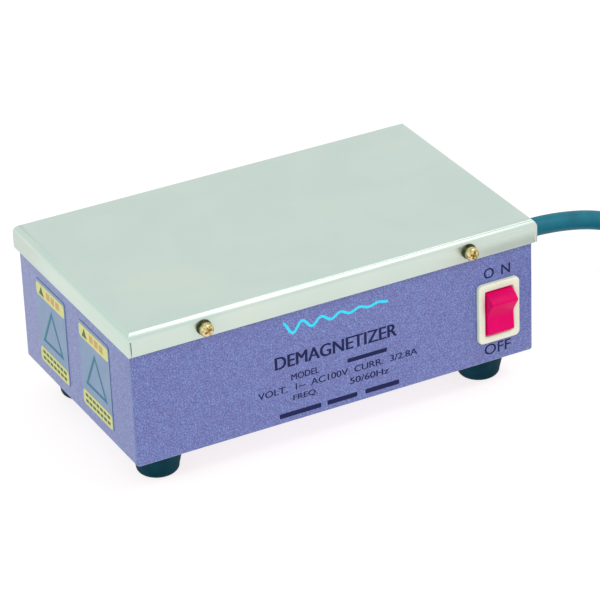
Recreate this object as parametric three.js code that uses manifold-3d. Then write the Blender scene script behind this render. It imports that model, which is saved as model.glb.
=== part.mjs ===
// A mains-powered plate demagnetizer: a painted sheet-steel case on four rubber feet, a folded
// stainless steel lid that the work is laid on, and a laminated E core with its coil below it.
// Millimetres, +Z up. The origin is on the surface that it stands on, below the lid's centre.
// +X is the side that the mains cord leaves, and -Y is the front, where the switch is.
import * as THREE from "three";
import { mergeVertices } from "three/addons/utils/BufferGeometryUtils.js";
import Module from "manifold-3d";

const wasm = await Module();
wasm.setup();

// Clearances
const SEAT = 0.05; // between two faces that bear on each other
const FIT = 0.3; // round a piece that passes through or lies against another

// Lid
const LID_LENGTH = 200;
const LID_WIDTH = 119;
const LID_SHEET = 1.2;
const LID_SKIRT = 11.6;
const LID_BEND = 4.2;
const LID_GAP = 1.8; // from the tops of the case's walls to the lid's underside
const LID_SEAM = 0.4;

// Case
const CASE_HEIGHT = 63.4;
const CASE_SHEET = 1.2;
const CASE_CORNER = 1.6;
const CASE_LENGTH = LID_LENGTH - 2 * (LID_SHEET + FIT);
const CASE_WIDTH = LID_WIDTH - 2 * (LID_SHEET + FIT);

// Feet
const FOOT_HEIGHT = 15.4;
const FOOT_TOP_RADIUS = 12.4;
const FOOT_BASE_RADIUS = 9.6;
const FOOT_EDGE = 2.6;
const FOOT_END_INSET = 19.1; // from the lid's ends to a foot's axis
const FOOT_SIDE_INSET = 20.2; // from the lid's front and rear to a foot's axis
const FOOT_RECESS_RADIUS = 5.5;
const FOOT_RECESS_DEPTH = 9;

// Screws: M4 for the lid and the feet, M5 for the core
const M4 = { shank: 2, head: 3.2, headHeight: 2.6 };
const M5 = { shank: 2.5, head: 4.8, headHeight: 3.6 };
const CROWN = 0.45; // a pan head's rounded edge, over its radius
const RECESS_SPAN = 0.95; // the cross recess's size, over the head's radius
const RECESS_WIDTH = 0.22;
const RECESS_DEPTH = 0.45; // over the head's height
const LID_SCREW_INSET = 35.2;
const FRONT_SCREW_DROP = 6.4; // from the lid's top to a front screw's axis
const REAR_SCREW_DROP = 7.8;
const LID_SCREW_LENGTH = 10;
const FLAT_WASHER_RADIUS = 3.6;
const FLAT_WASHER_THICK = 1;
const SPRING_WASHER_RADIUS = 3.3;
const SPRING_WASHER_THICK = 1.3;
const SPRING_WASHER_GAP_DEG = 16;
const NUT_FLAT_RADIUS = 3.6;
const NUT_THICK = 3.2;
const CORE_NUT_FLAT_RADIUS = 4;
const CORE_NUT_THICK = 4;
const FOOT_SCREW_LENGTH = 12;
const SCREW_END = 6; // how far the core's screws reach past the brackets

// Switch
const BEZEL_SIDE_BORDER = 3.45; // from the opening to the bezel's sides
const BEZEL_END_BORDER = 3.55; // from the opening to the bezel's ends
const BEZEL_THICK = 2;
const BEZEL_CORNER = 2.4;
const SWITCH_INSET = 18.45; // from the case's right side to the switch's centre line
const SWITCH_RISE = 25.8; // from the case's underside to the switch's centre
const SWITCH_LIP = 1.2; // how far the bezel overlaps the panel's cut-out
const SWITCH_DEPTH = 16.5;
const SWITCH_WALL = 2;
const ROCKER_WIDTH = 13.4;
const ROCKER_RADIUS = 10.9;
const ROCKER_SIDE_GAP = 0.4;
const ROCKER_PIVOT_DEPTH = 3.3; // from the bezel's face to the pivot
const ROCKER_CREST_DEG = 50;
const ROCKER_VALLEY = 1.1; // the valley's height over the bezel, with the rocker level
const ROCKER_TILT_DEG = 13;
const ROCKER_BACK = 3.9;
const PIVOT_PIN_RADIUS = 1.4;
const PIVOT_PIN_LENGTH = 1.6;
const PLUNGER_RADIUS = 1.2;
const PLUNGER_LENGTH = 4.4;
const ARM_DEPTH = 10; // from the rocker's pivot back to the contact arm's
const ARM_END_GAP = 1.6; // from the arm's ends to the cavity's
const ARM_WIDTH = 6;
const ARM_THICK = 1;
const ARM_TILT_DEG = ROCKER_TILT_DEG / 2;
const CONTACT_INSET = 1.4; // from the arm's end to its contact
const CONTACT_RISE = 0.6;
const COMMON_GAP = 1.2; // from the arm's middle plane back to the common terminal
const CONTACT_GAP = 2.6; // from the arm's middle plane back to the contact's terminal
const TAB_WIDTH = 6.3;
const TAB_THICK = 0.8;
const TAB_TAIL = 9;

// Magnet: an E core on edge, its three poles facing the lid
const WIRING_BAY = 37.3; // from the core's ends to the case's inner faces
const COIL_MARGIN = 8.7; // from the coil to the case's front and rear inner faces
const WINDOW_AIR = 1.9; // from the coil to the side poles
const YOKE_HEIGHT = 20;
const POLE_GAP = 1.5; // from the poles to the lid's underside
const PAD_THICK = 1.6;
const BOBBIN_WALL = 1.5;
const BOBBIN_FLANGE = 2;
const COIL_THICK = 16;
const COIL_CORNER = 6;
const BRACKET_SHEET = 2;
const BRACKET_FOOT = 16;
const BRACKET_SCREW_INSET = 14;
const CORE_BOLT_INSET = 9;
const CORE_BOLT_RISE = 10;

// Wiring
const LEAD_RADIUS = 1.1;
const BLOCK_SIZE = [24, 30, 16];
const BLOCK_INSET = [20, 38]; // from the case's right and rear inner faces to its centre
const WELL_RADIUS = 2.4;
const WELL_DEPTH = 6;
const WELL_SPACING = 14;
const CUTOUT_SIZE = [22, 5, 12];

// Mains cord
const CORD_RADIUS = 4.5;
const CORD_RISE = 42; // from the surface to where the cord leaves
const GLAND_FLANGE_RADIUS = 9.5;
const GLAND_FLANGE_THICK = 3;
const GLAND_ROOT_RADIUS = 7.4;
const GLAND_TIP_RADIUS = 5.7;
const GLAND_REACH = 32.5; // from the case's side to the boot's tip
const GLAND_NECK_RADIUS = 6.4;
const GLAND_TAIL = 4; // the barb inside the case
const GLAND_BARB = 1.4; // how far the barb stands past the neck
const COIL_CENTRE = [89, -54.6]; // from below the boot's tip
const COIL_INNER_RADIUS = 36;
const COIL_OUTER_RADIUS = 64;
const COIL_HEIGHT = 17.3;
const TIE_WIDTH = 9;
const TIE_THICK = 1.2;
const PLUG_LENGTH = 28;
const PLUG_WIDTH = 24;
const PLUG_THICK = 17;
const PLUG_CORNER = 4;
const PLUG_BOOT = 20;
const PLUG_BOOT_WALL = 0.8; // at the cord's end
const PLUG_BOOT_TAPER = 1.4;
const BLADE_LENGTH = 17;
const BLADE_WIDTH = 6.3;
const BLADE_THICK = 1.5;
const BLADE_SPACING = 12.7;
const BLADE_ROOT = 6; // how far a blade goes into the plug

// The cord's free stretches, chosen by hand: from the boot down onto the coil, and from the coil
// to the plug. X is counted from the boot's tip, and Z from the surface.
const CORD_ROUTE = [
  [0.3, 0, 42], [5, 0, 41.9], [10, 0, 41.6], [15, 0, 41.1], [20, 0, 40.4],
  [25, 0, 39.5], [30, 0, 38.4], [35, 0, 37], [40, 0, 35.3], [45, 0, 33.1],
  [50, 0, 30.4], [55, 0, 27.3], [60, 0, 24.1], [65, 0, 21.2], [70, 0, 18.7],
];
const TAIL_ROUTE = [
  [73, -113.4, 4.8], [68, -113.7, 5.4], [63, -113.8, 6.5], [58, -113.8, 7.7], [53, -113.8, 8.4],
  [47.3, -113.8, 8.5],
];
const PLUG_START = [47, -113.8, 8.5];

// Labels on the left side
const LABEL_WIDTH = 30.5;
const LABEL_THICK = 0.2;
const LABEL_SPACING = 45;
const LABEL_SHIFT = 2.6; // from the side's middle towards the rear
const LABEL_DROP = 6.5; // from the lid's edge to a label's top
const LABEL_RISE = 6.3; // from the case's underside to a label's foot

// Heights and places worked out from the sizes above
const CASE_FLOOR = FOOT_HEIGHT + CASE_SHEET;
const CASE_TOP = FOOT_HEIGHT + CASE_HEIGHT;
const LID_UNDER = CASE_TOP + LID_GAP; // the walls end below the lid's bends
const LID_TOP = LID_UNDER + LID_SHEET;
const SKIRT_EDGE = LID_TOP - LID_SKIRT;
const CORE_BASE = CASE_FLOOR + PAD_THICK + 2 * SEAT;
const CORE_TOP = LID_UNDER - POLE_GAP;
const CORE_LENGTH = CASE_LENGTH - 2 * (CASE_SHEET + WIRING_BAY);
const WINDOW_WIDTH = BOBBIN_WALL + COIL_THICK + 2 * FIT + WINDOW_AIR;
const POLE_WIDTH = (CORE_LENGTH - 2 * WINDOW_WIDTH) / 2; // the side poles are half as wide
const COIL_BUILD = 2 * FIT + BOBBIN_WALL + COIL_THICK; // from the middle pole to the coil's outside
const STACK_WIDTH = CASE_WIDTH - 2 * (CASE_SHEET + COIL_MARGIN + COIL_BUILD);
const YOKE_TOP = CORE_BASE + YOKE_HEIGHT;
const OPENING_WIDTH = ROCKER_WIDTH + 2 * ROCKER_SIDE_GAP;
const OPENING_HEIGHT = 2 * (ROCKER_RADIUS + FIT);
const BEZEL_WIDTH = OPENING_WIDTH + 2 * BEZEL_SIDE_BORDER;
const BEZEL_HEIGHT = OPENING_HEIGHT + 2 * BEZEL_END_BORDER;
const ARM_LENGTH = OPENING_HEIGHT - 2 * ARM_END_GAP;
const CONTACT_SHIFT = ARM_LENGTH / 2 - CONTACT_INSET; // from the arm's pivot down to its contact
const SWITCH_X = CASE_LENGTH / 2 - SWITCH_INSET;
const CORD_X = CASE_LENGTH / 2 + GLAND_REACH;
const SWITCH_Z = FOOT_HEIGHT + SWITCH_RISE;
const BEZEL_FACE = -CASE_WIDTH / 2 - BEZEL_THICK - SEAT;
const PIVOT_Y = BEZEL_FACE + ROCKER_PIVOT_DEPTH;
const LID_SCREW_X = LID_LENGTH / 2 - LID_SCREW_INSET;
const FOOT_X = LID_LENGTH / 2 - FOOT_END_INSET;
const FOOT_Y = LID_WIDTH / 2 - FOOT_SIDE_INSET;
const BRACKET_SCREW_X = CORE_LENGTH / 2 - BRACKET_SCREW_INSET;
const BRACKET_SCREW_Y = STACK_WIDTH / 2 + FIT + BRACKET_FOOT / 2;
const CORE_BOLT_X = CORE_LENGTH / 2 - CORE_BOLT_INSET;
const CORE_BOLT_Z = CORE_BASE + CORE_BOLT_RISE;
const CORNERS = [
  ["front_left", -1, -1],
  ["front_right", 1, -1],
  ["rear_left", -1, 1],
  ["rear_right", 1, 1],
];
const ENDS = [
  ["left", -1],
  ["right", 1],
];
const SIDES = [
  ["front", -1, LID_TOP - FRONT_SCREW_DROP],
  ["rear", 1, LID_TOP - REAR_SCREW_DROP],
]; // each with the height of its lid screws

const MATERIALS = {
  stainless: { color: 0xc6d4cc, roughness: 0.32, metalness: 0.9 },
  paint: { color: 0x7f86c4, roughness: 0.55, metalness: 0.1 },
  brass: { color: 0xc9a24a, roughness: 0.35, metalness: 1 },
  steel: { color: 0x9aa0a2, roughness: 0.4, metalness: 1 },
  rubber: { color: 0x0c3040, roughness: 0.7, metalness: 0 },
  ivory: { color: 0xf3f1e2, roughness: 0.4, metalness: 0 },
  red: { color: 0xd9085e, roughness: 0.3, metalness: 0 },
  core: { color: 0x4b5157, roughness: 0.6, metalness: 0.8 },
  winding: { color: 0xb06a3a, roughness: 0.4, metalness: 0.9 },
  plastic: { color: 0x1f2326, roughness: 0.5, metalness: 0 },
  cord: { color: 0x0e3f52, roughness: 0.5, metalness: 0 },
  label: { color: 0xdcd98a, roughness: 0.5, metalness: 0 },
  lead: { color: 0xd8d8d0, roughness: 0.5, metalness: 0 },
};
const materials = Object.fromEntries(
  Object.entries(MATERIALS).map(([name, look]) => [name, new THREE.MeshStandardMaterial(look)]),
);

const part = new THREE.Group();

function add(name, geometry, material, parent = part) {
  const mesh = new THREE.Mesh(geometry, materials[material]);
  mesh.name = name;
  parent.add(mesh);
  return mesh;
}

// A group at a point, turned by degrees about X, Y and Z.
function groupAt(place, turn = [0, 0, 0]) {
  const group = new THREE.Group();
  group.position.set(...place);
  group.rotation.set(...turn.map(THREE.MathUtils.degToRad));
  part.add(group);
  return group;
}

// Booleans

function solid(geometry) {
  const bare = new THREE.BufferGeometry();
  const flat = geometry.index ? geometry.toNonIndexed() : geometry;
  bare.setAttribute("position", flat.getAttribute("position"));
  const merged = mergeVertices(bare, 1e-4);
  return new wasm.Manifold(
    new wasm.Mesh({
      numProp: 3,
      vertProperties: merged.attributes.position.array,
      triVerts: new Uint32Array(merged.index.array),
    }),
  );
}

function geometryOf(manifold) {
  const mesh = manifold.getMesh();
  const geometry = new THREE.BufferGeometry();
  geometry.setAttribute("position", new THREE.BufferAttribute(mesh.vertProperties, 3));
  geometry.setIndex(new THREE.BufferAttribute(mesh.triVerts, 1));
  return geometry;
}

function cut(geometry, ...cutters) {
  return geometryOf(cutters.reduce((left, c) => left.subtract(solid(c)), solid(geometry)));
}

function join(...geometries) {
  return geometryOf(geometries.map(solid).reduce((all, g) => all.add(g)));
}

function common(a, b) {
  return geometryOf(solid(a).intersect(solid(b)));
}

// Shapes

function box(size, centre = [0, 0, 0]) {
  return new THREE.BoxGeometry(...size).translate(...centre);
}

// A box from its lowest to its highest corner.
function boxBetween(low, high) {
  const size = high.map((value, i) => value - low[i]);
  return box(size, low.map((value, i) => value + size[i] / 2));
}

// A cylinder along X, Y or Z.
function rod(axis, radius, length, centre, sides = 14) {
  const geometry = new THREE.CylinderGeometry(radius, radius, length, sides);
  if (axis === "x") geometry.rotateZ(-Math.PI / 2);
  if (axis === "z") geometry.rotateX(Math.PI / 2);
  return geometry.translate(...centre);
}

function roundedRectangle(width, height, radius) {
  const [x, y] = [width / 2, height / 2];
  const shape = new THREE.Shape();
  shape.moveTo(-x + radius, -y);
  shape.lineTo(x - radius, -y);
  shape.absarc(x - radius, -y + radius, radius, -Math.PI / 2, 0);
  shape.lineTo(x, y - radius);
  shape.absarc(x - radius, y - radius, radius, 0, Math.PI / 2);
  shape.lineTo(-x + radius, y);
  shape.absarc(-x + radius, y - radius, radius, Math.PI / 2, Math.PI);
  shape.lineTo(-x, -y + radius);
  shape.absarc(-x + radius, -y + radius, radius, Math.PI, 1.5 * Math.PI);
  return shape;
}

// A shape in X and Y raised from one height to another.
function raise(shape, from, to, curveSegments = 4) {
  return new THREE.ExtrudeGeometry(shape, {
    depth: to - from,
    bevelEnabled: false,
    curveSegments,
  }).translate(0, 0, from);
}

// A profile of [radius, height] points turned about Z; it ends on the axis or closes on itself.
function turned(points, sides = 24) {
  const area = points.reduce((sum, [r, z], i) => {
    const [r2, z2] = points[(i + 1) % points.length];
    return sum + r * z2 - r2 * z;
  }, 0);
  const wound = area > 0 ? points : [...points].reverse();
  const profile = wound.map(([r, z]) => new THREE.Vector2(r, z));
  return new THREE.LatheGeometry(profile, sides).rotateX(Math.PI / 2);
}

function closed(points) {
  return [...points, points[0]];
}

function arc(centre, radius, fromDeg, toDeg, steps) {
  return Array.from({ length: steps + 1 }, (_, i) => {
    const angle = THREE.MathUtils.degToRad(fromDeg + ((toDeg - fromDeg) * i) / steps);
    return [centre[0] + radius * Math.cos(angle), centre[1] + radius * Math.sin(angle)];
  });
}

function circleShape(radius, sides) {
  const points = arc([0, 0], radius, 0, 360, sides).slice(0, -1);
  return new THREE.Shape(points.map(([x, y]) => new THREE.Vector2(x, y)));
}

// A round tube along a smooth curve through points.
function tube(points, radius, sides, steps) {
  const curve = new THREE.CatmullRomCurve3(
    points.map((p) => new THREE.Vector3(...p)),
    false,
    "centripetal",
  );
  return new THREE.ExtrudeGeometry(circleShape(radius, sides), { steps, extrudePath: curve });
}

// A pan-head screw along Z: its head above the origin, its shank below, a cross recess on top.
function panScrew({ shank, head, headHeight }, length) {
  const crown = arc([0, headHeight - head * CROWN], head * CROWN, 90, 0, 3);
  const dome = crown.map(([r, z], i) => [i === 0 ? 0 : r + head * (1 - CROWN), z]);
  const profile = [[0, -length], [shank, -length], [shank, 0], [head, 0], ...dome.reverse()];
  const size = [head * RECESS_SPAN, head * RECESS_WIDTH, 2 * headHeight * RECESS_DEPTH];
  const slot = (turn) => box(size, [0, 0, headHeight]).rotateZ(turn);
  return cut(turned(profile, 14), slot(0), slot(Math.PI / 2));
}

function hexagon(flatRadius) {
  const corners = arc([0, 0], flatRadius / Math.cos(Math.PI / 6), 0, 300, 5);
  return new THREE.Shape(corners.map(([x, y]) => new THREE.Vector2(x, y)));
}

function drilled(shape, radius, sides = 12) {
  const hole = arc([0, 0], radius, 0, 360, sides).slice(0, -1);
  shape.holes.push(new THREE.Path(hole.map(([x, y]) => new THREE.Vector2(x, y))));
  return shape;
}

// Case

function casePanelHoles() {
  const screwHoles = SIDES.flatMap(([, side, z]) =>
    ENDS.map(([, end]) =>
      rod("y", M4.shank + FIT, 4, [end * LID_SCREW_X, (side * CASE_WIDTH) / 2, z]),
    ),
  );
  const footHoles = CORNERS.map(([, x, y]) =>
    rod("z", M4.shank + FIT, 4, [x * FOOT_X, y * FOOT_Y, FOOT_HEIGHT]),
  );
  const bracketHoles = CORNERS.map(([, x, y]) =>
    rod("z", M5.shank + FIT, 4, [x * BRACKET_SCREW_X, y * BRACKET_SCREW_Y, FOOT_HEIGHT]),
  );
  const switchHole = box(
    [BEZEL_WIDTH - 2 * SWITCH_LIP + 2 * FIT, 6, BEZEL_HEIGHT - 2 * SWITCH_LIP + 2 * FIT],
    [SWITCH_X, -CASE_WIDTH / 2, SWITCH_Z],
  );
  const glandHole = rod("x", GLAND_NECK_RADIUS + FIT, 6, [CASE_LENGTH / 2, 0, CORD_RISE], 24);
  return [...screwHoles, ...footHoles, ...bracketHoles, switchHole, glandHole];
}

function makeCase() {
  const outside = raise(roundedRectangle(CASE_LENGTH, CASE_WIDTH, CASE_CORNER), FOOT_HEIGHT, CASE_TOP);
  const hollow = raise(
    roundedRectangle(
      CASE_LENGTH - 2 * CASE_SHEET,
      CASE_WIDTH - 2 * CASE_SHEET,
      CASE_CORNER - CASE_SHEET,
    ),
    CASE_FLOOR,
    CASE_TOP + 1,
  );
  add("case", cut(outside, hollow, ...casePanelHoles()), "paint");
}

// Lid

// A block with its four top edges bent to a radius, as a folded tray's are.
function foldedBlock(length, width, low, high, bend) {
  const section = (span) => {
    const shape = new THREE.Shape();
    shape.moveTo(-span / 2, low);
    shape.lineTo(span / 2, low);
    shape.lineTo(span / 2, high - bend);
    shape.absarc(span / 2 - bend, high - bend, bend, 0, Math.PI / 2);
    shape.lineTo(-span / 2 + bend, high);
    shape.absarc(-span / 2 + bend, high - bend, bend, Math.PI / 2, Math.PI);
    return shape;
  };
  const alongY = raise(section(length), -width / 2, width / 2, 4).rotateX(Math.PI / 2);
  const alongX = raise(section(width), -length / 2, length / 2, 4)
    .rotateX(Math.PI / 2)
    .rotateZ(Math.PI / 2);
  return common(alongY, alongX);
}

function makeLid() {
  const outside = foldedBlock(LID_LENGTH, LID_WIDTH, SKIRT_EDGE, LID_TOP, LID_BEND);
  const hollow = foldedBlock(
    LID_LENGTH - 2 * LID_SHEET,
    LID_WIDTH - 2 * LID_SHEET,
    SKIRT_EDGE - 1,
    LID_UNDER,
    LID_BEND - LID_SHEET,
  );
  const screwHoles = SIDES.flatMap(([, side, z]) =>
    ENDS.map(([, end]) =>
      rod("y", M4.shank + FIT, 5, [end * LID_SCREW_X, (side * LID_WIDTH) / 2, z]),
    ),
  );
  // Each corner is open where the end of a long side meets a short side.
  const seams = CORNERS.map(([, x, y]) =>
    box(
      [LID_SEAM, 2 * LID_SHEET, LID_SKIRT - LID_BEND],
      [
        x * (LID_LENGTH / 2 - LID_SHEET - LID_SEAM / 2),
        (y * LID_WIDTH) / 2,
        SKIRT_EDGE + (LID_SKIRT - LID_BEND) / 2 - SEAT,
      ],
    ),
  );
  add("lid", cut(outside, hollow, ...screwHoles, ...seams), "stainless");
}

// Each lid screw clamps a flat washer and a split spring washer on the lid's skirt, and turns in a
// nut pressed into the case. The two washers are one solid, flat one first.
function makeLidScrews() {
  const [from, to] = [SPRING_WASHER_GAP_DEG / 2, 360 - SPRING_WASHER_GAP_DEG / 2];
  const turn = arc([0, 0], SPRING_WASHER_RADIUS, from, to, 14);
  const hole = arc([0, 0], M4.shank + FIT, to, from, 14);
  const split = new THREE.Shape([...turn, ...hole].map(([x, y]) => new THREE.Vector2(x, y)));
  const flat = drilled(circleShape(FLAT_WASHER_RADIUS, 14), M4.shank + FIT, 14);
  const washers = join(
    raise(flat, 0, FLAT_WASHER_THICK),
    raise(split, FLAT_WASHER_THICK - SEAT, FLAT_WASHER_THICK + SPRING_WASHER_THICK),
  );
  const stack = FLAT_WASHER_THICK + SPRING_WASHER_THICK;
  const nut = drilled(hexagon(NUT_FLAT_RADIUS), M4.shank + FIT);
  const skirtFace = LID_WIDTH / 2 + SEAT;
  const nutFace = CASE_WIDTH / 2 - CASE_SHEET - SEAT;
  for (const [end, x] of ENDS)
    for (const [side, y, z] of SIDES) {
      const outwards = y < 0 ? [90, 0, 0] : [-90, 0, 0];
      const name = `${side}_${end}`;
      const axis = groupAt([x * LID_SCREW_X, 0, z], outwards);
      const head = skirtFace + stack + SEAT;
      add(`lid_screw_${name}`, panScrew(M4, LID_SCREW_LENGTH).translate(0, 0, head), "brass", axis);
      add(`lid_washer_${name}`, washers.clone().translate(0, 0, skirtFace), "steel", axis);
      add(`lid_nut_${name}`, raise(nut, nutFace - NUT_THICK, nutFace), "steel", axis);
    }
}

// Feet

function makeFeet() {
  const top = FOOT_HEIGHT - SEAT;
  const edge = arc([FOOT_BASE_RADIUS - FOOT_EDGE, FOOT_EDGE], FOOT_EDGE, -90, 5, 5);
  const hole = M4.shank + FIT;
  const profile = closed([
    [FOOT_RECESS_RADIUS, 0],
    ...edge,
    [FOOT_TOP_RADIUS, top],
    [hole, top],
    [hole, FOOT_RECESS_DEPTH],
    [FOOT_RECESS_RADIUS, FOOT_RECESS_DEPTH],
  ]);
  const screw = panScrew(M4, FOOT_SCREW_LENGTH).rotateX(Math.PI);
  for (const [name, x, y] of CORNERS) {
    const axis = groupAt([x * FOOT_X, y * FOOT_Y, 0]);
    add(`foot_${name}`, turned(profile, 22), "rubber", axis);
    add(`foot_screw_${name}`, screw.clone().translate(0, 0, FOOT_RECESS_DEPTH - SEAT), "steel", axis);
  }
}

// Switch

// The switch's own frame: X along the pivot, Y out of the front, Z up, with the pivot at the origin.
function rockerProfile() {
  const backDeg = THREE.MathUtils.radToDeg(Math.acos(-ROCKER_BACK / ROCKER_RADIUS));
  const top = arc([0, 0], ROCKER_RADIUS, ROCKER_CREST_DEG, backDeg, 6);
  const bottom = arc([0, 0], ROCKER_RADIUS, -backDeg, -ROCKER_CREST_DEG, 6);
  const valley = [ROCKER_PIVOT_DEPTH + ROCKER_VALLEY, 0];
  return new THREE.Shape([...top, ...bottom, valley].map(([out, up]) => new THREE.Vector2(out, up)));
}

// A shape in Y (out) and Z (up), given width along X.
function across(shape, width) {
  return raise(shape, -width / 2, width / 2)
    .rotateX(Math.PI / 2)
    .rotateZ(Math.PI / 2);
}

function makeSwitch() {
  const frame = groupAt([SWITCH_X, PIVOT_Y, SWITCH_Z], [0, 0, 180]);
  const face = ROCKER_PIVOT_DEPTH;
  const panel = face - BEZEL_THICK;
  const back = panel - SWITCH_DEPTH;
  const bodyWidth = BEZEL_WIDTH - 2 * SWITCH_LIP;
  const bodyHeight = BEZEL_HEIGHT - 2 * SWITCH_LIP;

  const bezel = raise(roundedRectangle(BEZEL_WIDTH, BEZEL_HEIGHT, BEZEL_CORNER), -face, -panel)
    .rotateX(Math.PI / 2);
  const body = boxBetween(
    [-bodyWidth / 2, back, -bodyHeight / 2],
    [bodyWidth / 2, panel + BEZEL_THICK / 2, bodyHeight / 2],
  );
  const cavity = boxBetween(
    [-OPENING_WIDTH / 2, back + SWITCH_WALL, -OPENING_HEIGHT / 2],
    [OPENING_WIDTH / 2, face + 1, OPENING_HEIGHT / 2],
  );
  const pinLength = ROCKER_WIDTH + 2 * PIVOT_PIN_LENGTH;
  const pinHole = rod("x", PIVOT_PIN_RADIUS + FIT, pinLength + 2 * FIT, [0, 0, 0]);
  const tabSlots = [0, -1].map((row) =>
    box(
      [TAB_WIDTH + 2 * FIT, 3 * SWITCH_WALL, TAB_THICK + 2 * FIT],
      [0, back + SWITCH_WALL / 2, row * CONTACT_SHIFT],
    ),
  );
  add("switch_housing", cut(join(bezel, body), cavity, pinHole, ...tabSlots), "ivory", frame);

  // At rest the switch is off: the rocker's upper half stands out.
  const pins = rod("x", PIVOT_PIN_RADIUS, pinLength, [0, 0, 0]);
  const plunger = rod("y", PLUNGER_RADIUS, PLUNGER_LENGTH + 1, [0, -ROCKER_BACK - PLUNGER_LENGTH / 2 + 0.5, 0], 12);
  const rocker = join(across(rockerProfile(), ROCKER_WIDTH), pins, plunger);
  add("rocker", rocker.rotateX(THREE.MathUtils.degToRad(-ROCKER_TILT_DEG)), "red", frame);

  const arm = join(
    box([ARM_WIDTH, ARM_THICK, ARM_LENGTH]),
    rod("y", ARM_WIDTH / 4, ARM_THICK + CONTACT_RISE, [0, -CONTACT_RISE / 2, -CONTACT_SHIFT], 12),
  );
  arm.rotateX(THREE.MathUtils.degToRad(ARM_TILT_DEG)).translate(0, -ARM_DEPTH, 0);
  add("contact_arm", arm, "brass", frame);

  const tabFront = [-ARM_DEPTH - COMMON_GAP, -ARM_DEPTH - CONTACT_GAP];
  ["common", "contact"].forEach((name, i) => {
    const tab = boxBetween(
      [-TAB_WIDTH / 2, back - TAB_TAIL, -TAB_THICK / 2],
      [TAB_WIDTH / 2, tabFront[i], TAB_THICK / 2],
    );
    add(`terminal_${name}`, tab.translate(0, 0, -i * CONTACT_SHIFT), "brass", frame);
  });
}

// Magnet

function makeCore() {
  const half = CORE_LENGTH / 2;
  const windows = ENDS.map(([, end]) =>
    box(
      [WINDOW_WIDTH, 2 * STACK_WIDTH, CORE_TOP - YOKE_TOP + 2],
      [end * (POLE_WIDTH + WINDOW_WIDTH) / 2, 0, (CORE_TOP + YOKE_TOP + 2) / 2],
    ),
  );
  const boltHoles = ENDS.map(([, end]) =>
    rod("y", M5.shank + FIT, 2 * STACK_WIDTH, [end * CORE_BOLT_X, 0, CORE_BOLT_Z]),
  );
  const block = boxBetween([-half, -STACK_WIDTH / 2, CORE_BASE], [half, STACK_WIDTH / 2, CORE_TOP]);
  add("core", cut(block, ...windows, ...boltHoles), "core");

  const pad = boxBetween(
    [-half, -STACK_WIDTH / 2, CASE_FLOOR + SEAT],
    [half, STACK_WIDTH / 2, CASE_FLOOR + SEAT + PAD_THICK],
  );
  add("core_pad", pad, "rubber");
}

// The winding on its bobbin, round the middle pole.
function makeCoil() {
  const bore = [POLE_WIDTH + 2 * FIT, STACK_WIDTH + 2 * FIT];
  const hub = bore.map((span) => span + 2 * BOBBIN_WALL);
  const wound = hub.map((span) => span + 2 * FIT + 2 * COIL_THICK);
  const low = YOKE_TOP + FIT;
  const high = CORE_TOP - FIT;
  const flange = (from) => raise(roundedRectangle(...wound, COIL_CORNER), from, from + BOBBIN_FLANGE);
  const bobbin = cut(
    join(
      flange(low),
      flange(high - BOBBIN_FLANGE),
      raise(roundedRectangle(...hub, BOBBIN_WALL), low, high),
    ),
    box([...bore, 3 * (high - low)], [0, 0, low]),
  );
  add("bobbin", bobbin, "plastic");

  const winding = cut(
    raise(roundedRectangle(...wound, COIL_CORNER), low + BOBBIN_FLANGE + FIT, high - BOBBIN_FLANGE - FIT),
    raise(roundedRectangle(...hub.map((span) => span + 2 * FIT), BOBBIN_WALL), low, high),
  );
  add("coil", winding, "winding");

  const coilSide = wound[1] / 2 + FIT;
  const [x, y, z] = CUTOUT_SIZE;
  add("thermal_cutout", box([x, y, z], [0, coilSide + y / 2, (low + high) / 2]), "plastic");
}

// Two angle brackets hold the yoke, with bolts through it and screws up through the case.
function makeCoreMountings() {
  const web = STACK_WIDTH / 2 + FIT;
  for (const [name, side] of SIDES) {
    const profile = new THREE.Shape(
      [
        [web, CORE_BASE],
        [web + BRACKET_FOOT, CORE_BASE],
        [web + BRACKET_FOOT, CORE_BASE + BRACKET_SHEET],
        [web + BRACKET_SHEET, CORE_BASE + BRACKET_SHEET],
        [web + BRACKET_SHEET, YOKE_TOP - FIT],
        [web, YOKE_TOP - FIT],
      ].map(([y, z]) => new THREE.Vector2(y, z - CORE_BASE + CASE_FLOOR + SEAT)),
    );
    const angle = across(profile, CORE_LENGTH);
    const holes = ENDS.flatMap(([, end]) => [
      rod("z", M5.shank + FIT, 20, [end * BRACKET_SCREW_X, BRACKET_SCREW_Y, CASE_FLOOR]),
      rod("y", M5.shank + FIT, 20, [end * CORE_BOLT_X, web, CORE_BOLT_Z]),
    ]);
    const bracket = cut(angle, ...holes);
    if (side < 0) bracket.rotateZ(Math.PI);
    add(`core_bracket_${name}`, bracket, "steel");
  }

  const screwLength = CASE_SHEET + BRACKET_SHEET + SCREW_END;
  for (const [name, x, y] of CORNERS) {
    const axis = groupAt([x * BRACKET_SCREW_X, y * BRACKET_SCREW_Y, FOOT_HEIGHT - SEAT], [180, 0, 0]);
    add(`bracket_screw_${name}`, panScrew(M5, screwLength), "steel", axis);
  }

  const grip = web + BRACKET_SHEET + SEAT;
  const nut = drilled(hexagon(CORE_NUT_FLAT_RADIUS), M5.shank + FIT);
  for (const [name, end] of ENDS) {
    const axis = groupAt([end * CORE_BOLT_X, 0, CORE_BOLT_Z], [90, 0, 0]);
    const shank = rod("z", M5.shank, 2 * (grip + CORE_NUT_THICK), [0, 0, -CORE_NUT_THICK]);
    const head = raise(hexagon(CORE_NUT_FLAT_RADIUS), grip, grip + M5.headHeight);
    add(`core_bolt_${name}`, join(shank, head), "steel", axis);
    add(`core_nut_${name}`, raise(nut, -grip - CORE_NUT_THICK, -grip), "steel", axis);
  }
}

// Wiring

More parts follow.
